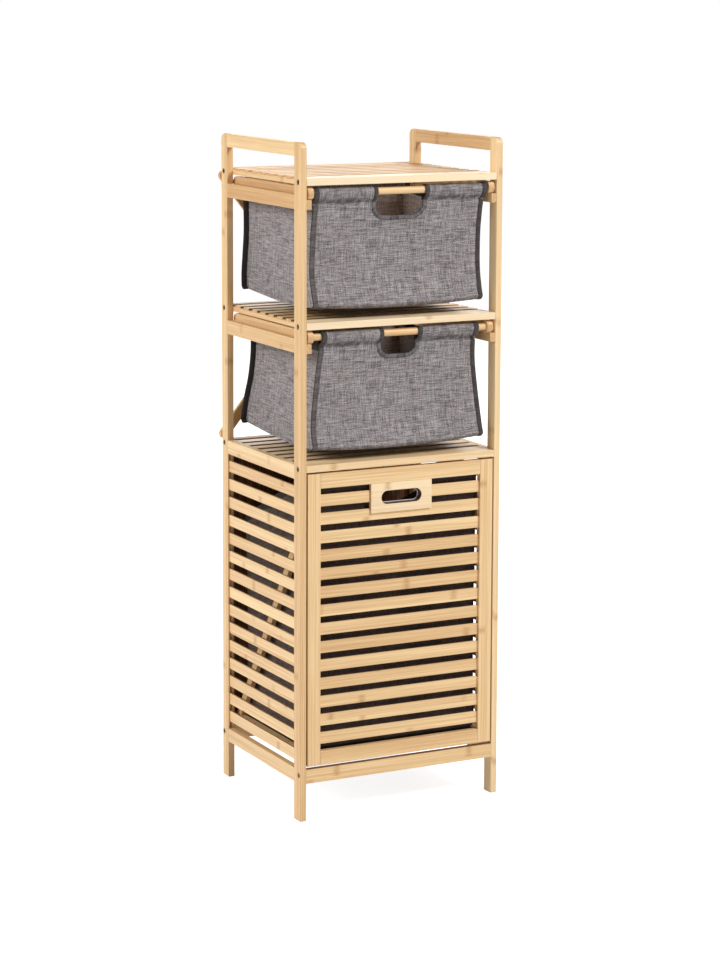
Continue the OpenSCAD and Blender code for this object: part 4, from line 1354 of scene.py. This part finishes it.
def sewBasket(name, shape, surface, marks, outline):
    # stitches along both sleeves, on the tapes and round the hand hole
    clear, beside, inTape = (stitchMake[key] for key in ("sleeveEnds", "besideSleeve", "inTape"))
    inner, outer = shape["holeHalf"] + clear, shape["sleeveHalf"] - clear
    front, back = marks["frontStitch"] + beside, marks["backStitch"] - beside
    lines = ((front, -outer, -inner), (front, inner, outer), (back, -outer, outer))
    sewn = [[(x, s) for x in evenly(low, high, 30)] for s, low, high in lines]
    plain = sewLine(name + "_sleeve_stitches", sewn, surface, stitchMake["onCloth"])
    hand(plain, name, skins["thread_grey"])
    onTape = [[(a + na * inTape, b + nb * inTape) for (a, b), (na, nb) in outline]]
    outside = basketSeams["front"][0] - inTape
    below, above = stitchMake["seamEnds"]
    places = evenly(marks["frontStitch"] + below, marks["floorStart"] - above, 70)
    for side in (-1, 1):
        onTape.append([(side * (halfWidthAt(shape, surface(0.0, s).z) + outside), s) for s in places])
        ringAt = side * (shape["sleeveHalf"] - stitchMake["ringIn"])
        onTape.append([(ringAt, s) for s in evenly(0.0, marks["frontStitch"], 30)])
    trim = sewLine(name + "_tape_stitches", onTape, surface, stitchMake["onTape"])
    hand(trim, name, darkTape)


def makeBase(name, shape):
    # stiffening board under its cloth cover, on the basket's floor
    front, back = shape["frontY"][0][1] + baseMake["inset"], shape["backY"][0][1] - baseMake["inset"]
    cut, straight = baseMake["corner"]
    high, fine = baseMake["uneven"]
    wide = 2 * baseMake["half"]

    def baseShape(u, v):
        x = (u - 0.5) * wide
        corner = cut * max(0.0, (abs(2 * u - 1) - straight) / (1 - straight)) ** 2
        y = front + corner + (back - front - 2 * corner) * v
        sag = shape["floorSag"] * (1 - min(abs(x) / shape["halfWidth"][0][1], 1.0) ** 2)
        uneven = high * noise.noise(Vector((x * fine, y * fine, shape["seed"])))
        return Vector((x, y, shape["floorZ"] - sag + baseMake["lift"] + uneven))

    base = sheetGrid(name + "_base", 60, 50, baseShape, lambda u, v: (u * wide, v * baseMake["mapLong"]))
    thicken(base, baseMake["thick"])
    # the board's cover takes the lining: painted light
    hand(base, name, paintedLightLining, [name + "_board"])


def makeBasket(name, shape):
    surface, length, marks = basketSurface(shape)
    holeBottom = marks["frontStitch"] + (shape["holeDrop"] - shape["stitchDrop"]) * basketMake["holeSlack"]
    makeStrip(name, shape, surface, length, marks, holeBottom)
    for side in (-1, 1):
        makeSide(name, shape, surface, length, marks, side)
    outline = holeOutline(shape, holeBottom)
    bindHole(name, outline, surface, marks)
    sewBasket(name, shape, surface, marks, outline)
    makeBase(name, shape)


def settleFloor(pieces, shape):
    # the floor of a hung basket rises towards the back, sags between front and back, and may hang askew
    front, back = shape["frontY"][0][1], shape["backY"][0][1]
    most, lean = basketMake["sagLean"]
    for piece in pieces:
        for vert in piece.data.vertices:
            toBack = clamped((vert.co.y - front) / (back - front))
            toRight = min(max(vert.co.x / shape["halfWidth"][0][1], -1.0), 1.0) / 2 + 0.5
            sag = 4 * toBack * (1 - toBack) * (most - lean * toBack)
            rise = shape["backRise"] * toBack + shape["rightRise"] * toRight - shape["sideSag"] * sag
            vert.co.z += rise * (1 - clamped(heightShare(shape, vert.co.z)))


for name, shape in basketShapes.items():
    before = set(bpy.data.objects)
    makeBasket(name, shape)
    settleFloor([piece for piece in bpy.data.objects if piece not in before], shape)
bpy.data.objects.remove(stitchShape)
print("baskets sewn")


bagShape = {
    "half": (0.1625, 0.1495),  # metres, half width and half depth
    "middleY": -0.0045,
    "corner": 0.008,
    "columns": (40, 6, 40, 6, 40, 6, 40, 6),  # on each side and corner, from the front on
    "rows": 96,
    "floorRows": 22,
    "floorZ": 0.1175,
    "wallFoot": 0.004,
    "mouth": [(-0.154, 0.603), (-0.110, 0.598), (-0.065, 0.587), (-0.006, 0.5605), (0.0716, 0.5248), (0.145, 0.4915)],
    "frontDip": 0.050,  # the rim hangs clear of the hand hole
    "dipSpan": ((0.064, 0.034), (-0.12, -0.15)),  # where it begins and is full, in x and y
    "hemStretch": 1.4,
    "drawnIn": 0.0030,
    "folds": [(0.0034, 13, 2.2, 0), (0.0016, 45, 9, 4)],  # depth, fineness round and up, seed
    "foldRise": (0.35, 0.65),  # share of the wide folds at the foot, and what comes on top up to the mouth
    "foldMost": 0.0008,
    "frontCalm": 0.85,  # how much the front's rim smooths the folds out
    "frontSpan": ((0.6, 0.95), (0.75, 1.0)),  # of how squarely it faces the front, and of the height
    "footRound": (0.010, 0.03),
    "floorLift": 0.0012,
    "floorWave": (0.0009, 30),
    "frontShade": (0.60, -0.125, -0.150),  # painted shade on the bag's front: how dark, and where it begins and is full
    "map": (1.19, 0.62),  # metres round and up
    "cloth": 0.0016,
    "seed": 21.0,
}


def bagLegs(shape):
    # round the bag from the left end of its front: where each leg starts, its way or first angle, its length
    (halfX, halfY), radius = shape["half"], shape["corner"]
    innerX, innerY, arc = halfX - radius, halfY - radius, radius * math.pi / 2
    return [
        ((-innerX, -halfY), (1, 0), 2 * innerX), ((innerX, -innerY), -90, arc),
        ((halfX, -innerY), (0, 1), 2 * innerY), ((innerX, innerY), 0, arc),
        ((innerX, halfY), (-1, 0), 2 * innerX), ((-innerX, innerY), 90, arc),
        ((-halfX, innerY), (0, -1), 2 * innerY), ((-innerX, -innerY), 180, arc),
    ]


def bagShares(shape):
    # columns round the bag, from the middle of its front, close together at the corners
    sizes = [size for _, _, size in bagLegs(shape)]
    counts = shape["columns"]
    sizes = [sizes[0] / 2, *sizes[1:], sizes[0] / 2]
    counts = [counts[0] // 2, *counts[1:], counts[0] // 2]
    places = [0.0]
    for size, count in zip(sizes, counts):
        places += evenly(places[-1], places[-1] + size, count)[1:]
    return [place / places[-1] for place in places]


def bagOutline(shape, share):
    # point and outward direction on a rectangle with round corners; share is 0 to 1 from the middle of the front
    legs = bagLegs(shape)
    total = sum(size for _, _, size in legs)
    go = (share * total + legs[0][2] / 2) % total
    while go > legs[0][2] and len(legs) > 1:
        go -= legs.pop(0)[2]
    start, way, size = legs[0]
    go = min(go, size)
    if isinstance(way, tuple):
        return Vector((start[0] + way[0] * go, start[1] + way[1] * go)), Vector((way[1], -way[0]))
    angle = math.radians(way) + go / shape["corner"]
    out = Vector((math.cos(angle), math.sin(angle)))
    return Vector(start) + out * shape["corner"], out


def mouthHeight(shape, x, y):
    spanX, spanY = shape["dipSpan"]
    return curveValue(shape["mouth"], y) - shape["frontDip"] * ease(*spanX, abs(x)) * ease(*spanY, y)


def bagPoint(shape, share, height, lift=0.0):
    # height is 0 at the foot of the wall and 1 at the mouth
    place, out = bagOutline(shape, share)
    top = mouthHeight(shape, place.x, place.y + shape["middleY"])
    foot = shape["floorZ"] + shape["wallFoot"]
    wide, small = (
        depth * noise.noise(Vector((share * fineRound, height * fineUp, shape["seed"] + more)))
        for depth, fineRound, fineUp, more in shape["folds"]
    )
    low, rising = shape["foldRise"]
    fold = wide * (low + rising * height) + small
    fold -= shape["drawnIn"] * math.sin(math.pi * min(height, 1.0))
    facing, high = shape["frontSpan"]
    atFront = ease(*facing, -out.y) * ease(*high, height)
    fold = min(fold * (1 - shape["frontCalm"] * atFront), shape["foldMost"])
    inward, until = shape["footRound"]
    place = place + out * (fold - inward * (1 - ease(0.0, until, height)) ** 2 + lift)
    return Vector((place.x, place.y + shape["middleY"], foot + (top - foot) * height))


def makeBag(shape):
    shares = bagShares(shape)
    rows, floorRows, columns = shape["rows"], shape["floorRows"], len(shares) - 1
    floorZ, floorLift = shape["floorZ"], shape["floorLift"]
    deep, fine = shape["floorWave"]

    def wall(u, v):
        row, around = round(v * rows), shares[round(u * columns)]
        if row >= floorRows:
            return bagPoint(shape, around, (row - floorRows) / (rows - floorRows))
        share = row / floorRows
        rim = bagPoint(shape, around, 0.0)
        spot = Vector((0.0, shape["middleY"], floorZ)).lerp(rim, share)
        wave = deep * noise.noise(Vector((spot.x * fine, spot.y * fine, shape["seed"])))
        rise = floorLift + wave + (rim.z - floorZ - floorLift) * share**10
        return Vector((spot.x, spot.y, floorZ + rise))

    def flat(u, v):
        return shares[round(u * columns)] * shape["map"][0], v * shape["map"][1]

    bag = sheetGrid("laundry_bag_shell", columns, rows, wall, flat)
    editAll(bag)
    bpy.ops.mesh.remove_doubles(threshold=boardEdges["weld"])
    leaveEdit()
    # painted shade on the bag's front, behind the door
    dark, *span = shape["frontShade"]
    writeValues(bag.data, "foldShadePainted", "POINT", [dark * ease(*span, v.co.y) for v in bag.data.vertices])
    thicken(bag, shape["cloth"])
    hand(bag, "hamper_door", bagCloth, ["laundry_bag"])

    def mouthSurface(a, b, lift):
        # b falls below 1 by metres, turned here into a share of the wall
        place = bagOutline(shape, a)[0]
        high = mouthHeight(shape, place.x, place.y + shape["middleY"]) - floorZ
        return bagPoint(shape, a, 1.0 + (b - 1.0) * shape["hemStretch"] / high, lift)

    hem = bandAlong("laundry_bag_hem", [((around, 1.0), (0.0, -1.0)) for around in shares], mouthSurface)
    hand(hem, "hamper_door", bagTapeTrim)


makeBag(bagShape)
print("laundry bag made")


studio = {
    "worldLight": 0.25,
    "floorLift": 0.83,  # seen by the camera only
    "floorSize": 30,
    "floorTones": ((0.82, 0.82, 0.82, 1), (0.80, 0.80, 0.80, 1)),
    "lamps": {
        "key": {"place": (2.1, -3.8, 4.3), "aim": (0, 0, 0.7), "size": 1.8, "power": 222},
        "leftFill": {"place": (-4.6, 0.2, 2.9), "aim": (0, 0, 0.6), "size": 2.2, "power": 153},
        "backFill": {"place": (1.8, 4.4, 2.8), "aim": (0, 0, 0.6), "size": 2.6, "power": 50},
    },
}


def cameraSees(tree, other):
    path = addNode(tree, "LightPath")
    return calc(tree, "MAXIMUM", path["Is Camera Ray"], path[other])


def makeWorld(setup):
    world = bpy.data.worlds.new("studioWorld")
    bpy.context.scene.world = world
    world.use_nodes = True
    tree = world.node_tree
    tree.nodes.clear()
    strengths = (setup["worldLight"], 1.0)
    dim, white = (addNode(tree, "Background", {}, {"Color": (1, 1, 1, 1), "Strength": s})[0] for s in strengths)
    both = addNode(tree, "MixShader", {}, {0: cameraSees(tree, "Is Transmission Ray"), 1: dim, 2: white})[0]
    addNode(tree, "OutputWorld", {}, {"Surface": both})


def makeFloor(setup):
    deselectAll()
    bpy.ops.mesh.primitive_plane_add(size=setup["floorSize"], location=(0, 0, 0))
    floor = bpy.context.active_object
    floor.name = "studio_floor"
    bpy.ops.object.mode_set(mode="EDIT")
    bpy.ops.mesh.subdivide(number_cuts=3)
    leaveEdit()
    material, tree, shader = newMaterial("floor_paper")
    fleck = noised(tree, objectPlace(tree), (9.0, 9.0, 9.0))
    fillInputs(tree, shader, {
        "Base Color": mixed(tree, fleck, *setup["floorTones"]),
        "Roughness": 1.0,
        "Specular IOR Level": 0.0,
        "Emission Color": (1, 1, 1, 1),
        "Emission Strength": times(tree, cameraSees(tree, "Is Glossy Ray"), setup["floorLift"]),
    })
    floor.data.materials.append(material)


def makeLamps(lamps):
    for name, lamp in lamps.items():
        data = bpy.data.lights.new(name + "Lamp", "AREA")
        data.shape = "DISK"
        data.size = lamp["size"]
        data.energy = lamp["power"]
        light = linked(name + "Lamp", data)
        light.location = lamp["place"]
        aim = Vector(lamp["aim"]) - Vector(lamp["place"])
        light.rotation_euler = aim.to_track_quat("-Z", "Y").to_euler()


makeWorld(studio)
makeFloor(studio)
makeLamps(studio["lamps"])
bpy.context.scene.view_settings.view_transform = "Standard"
print("studio lit")
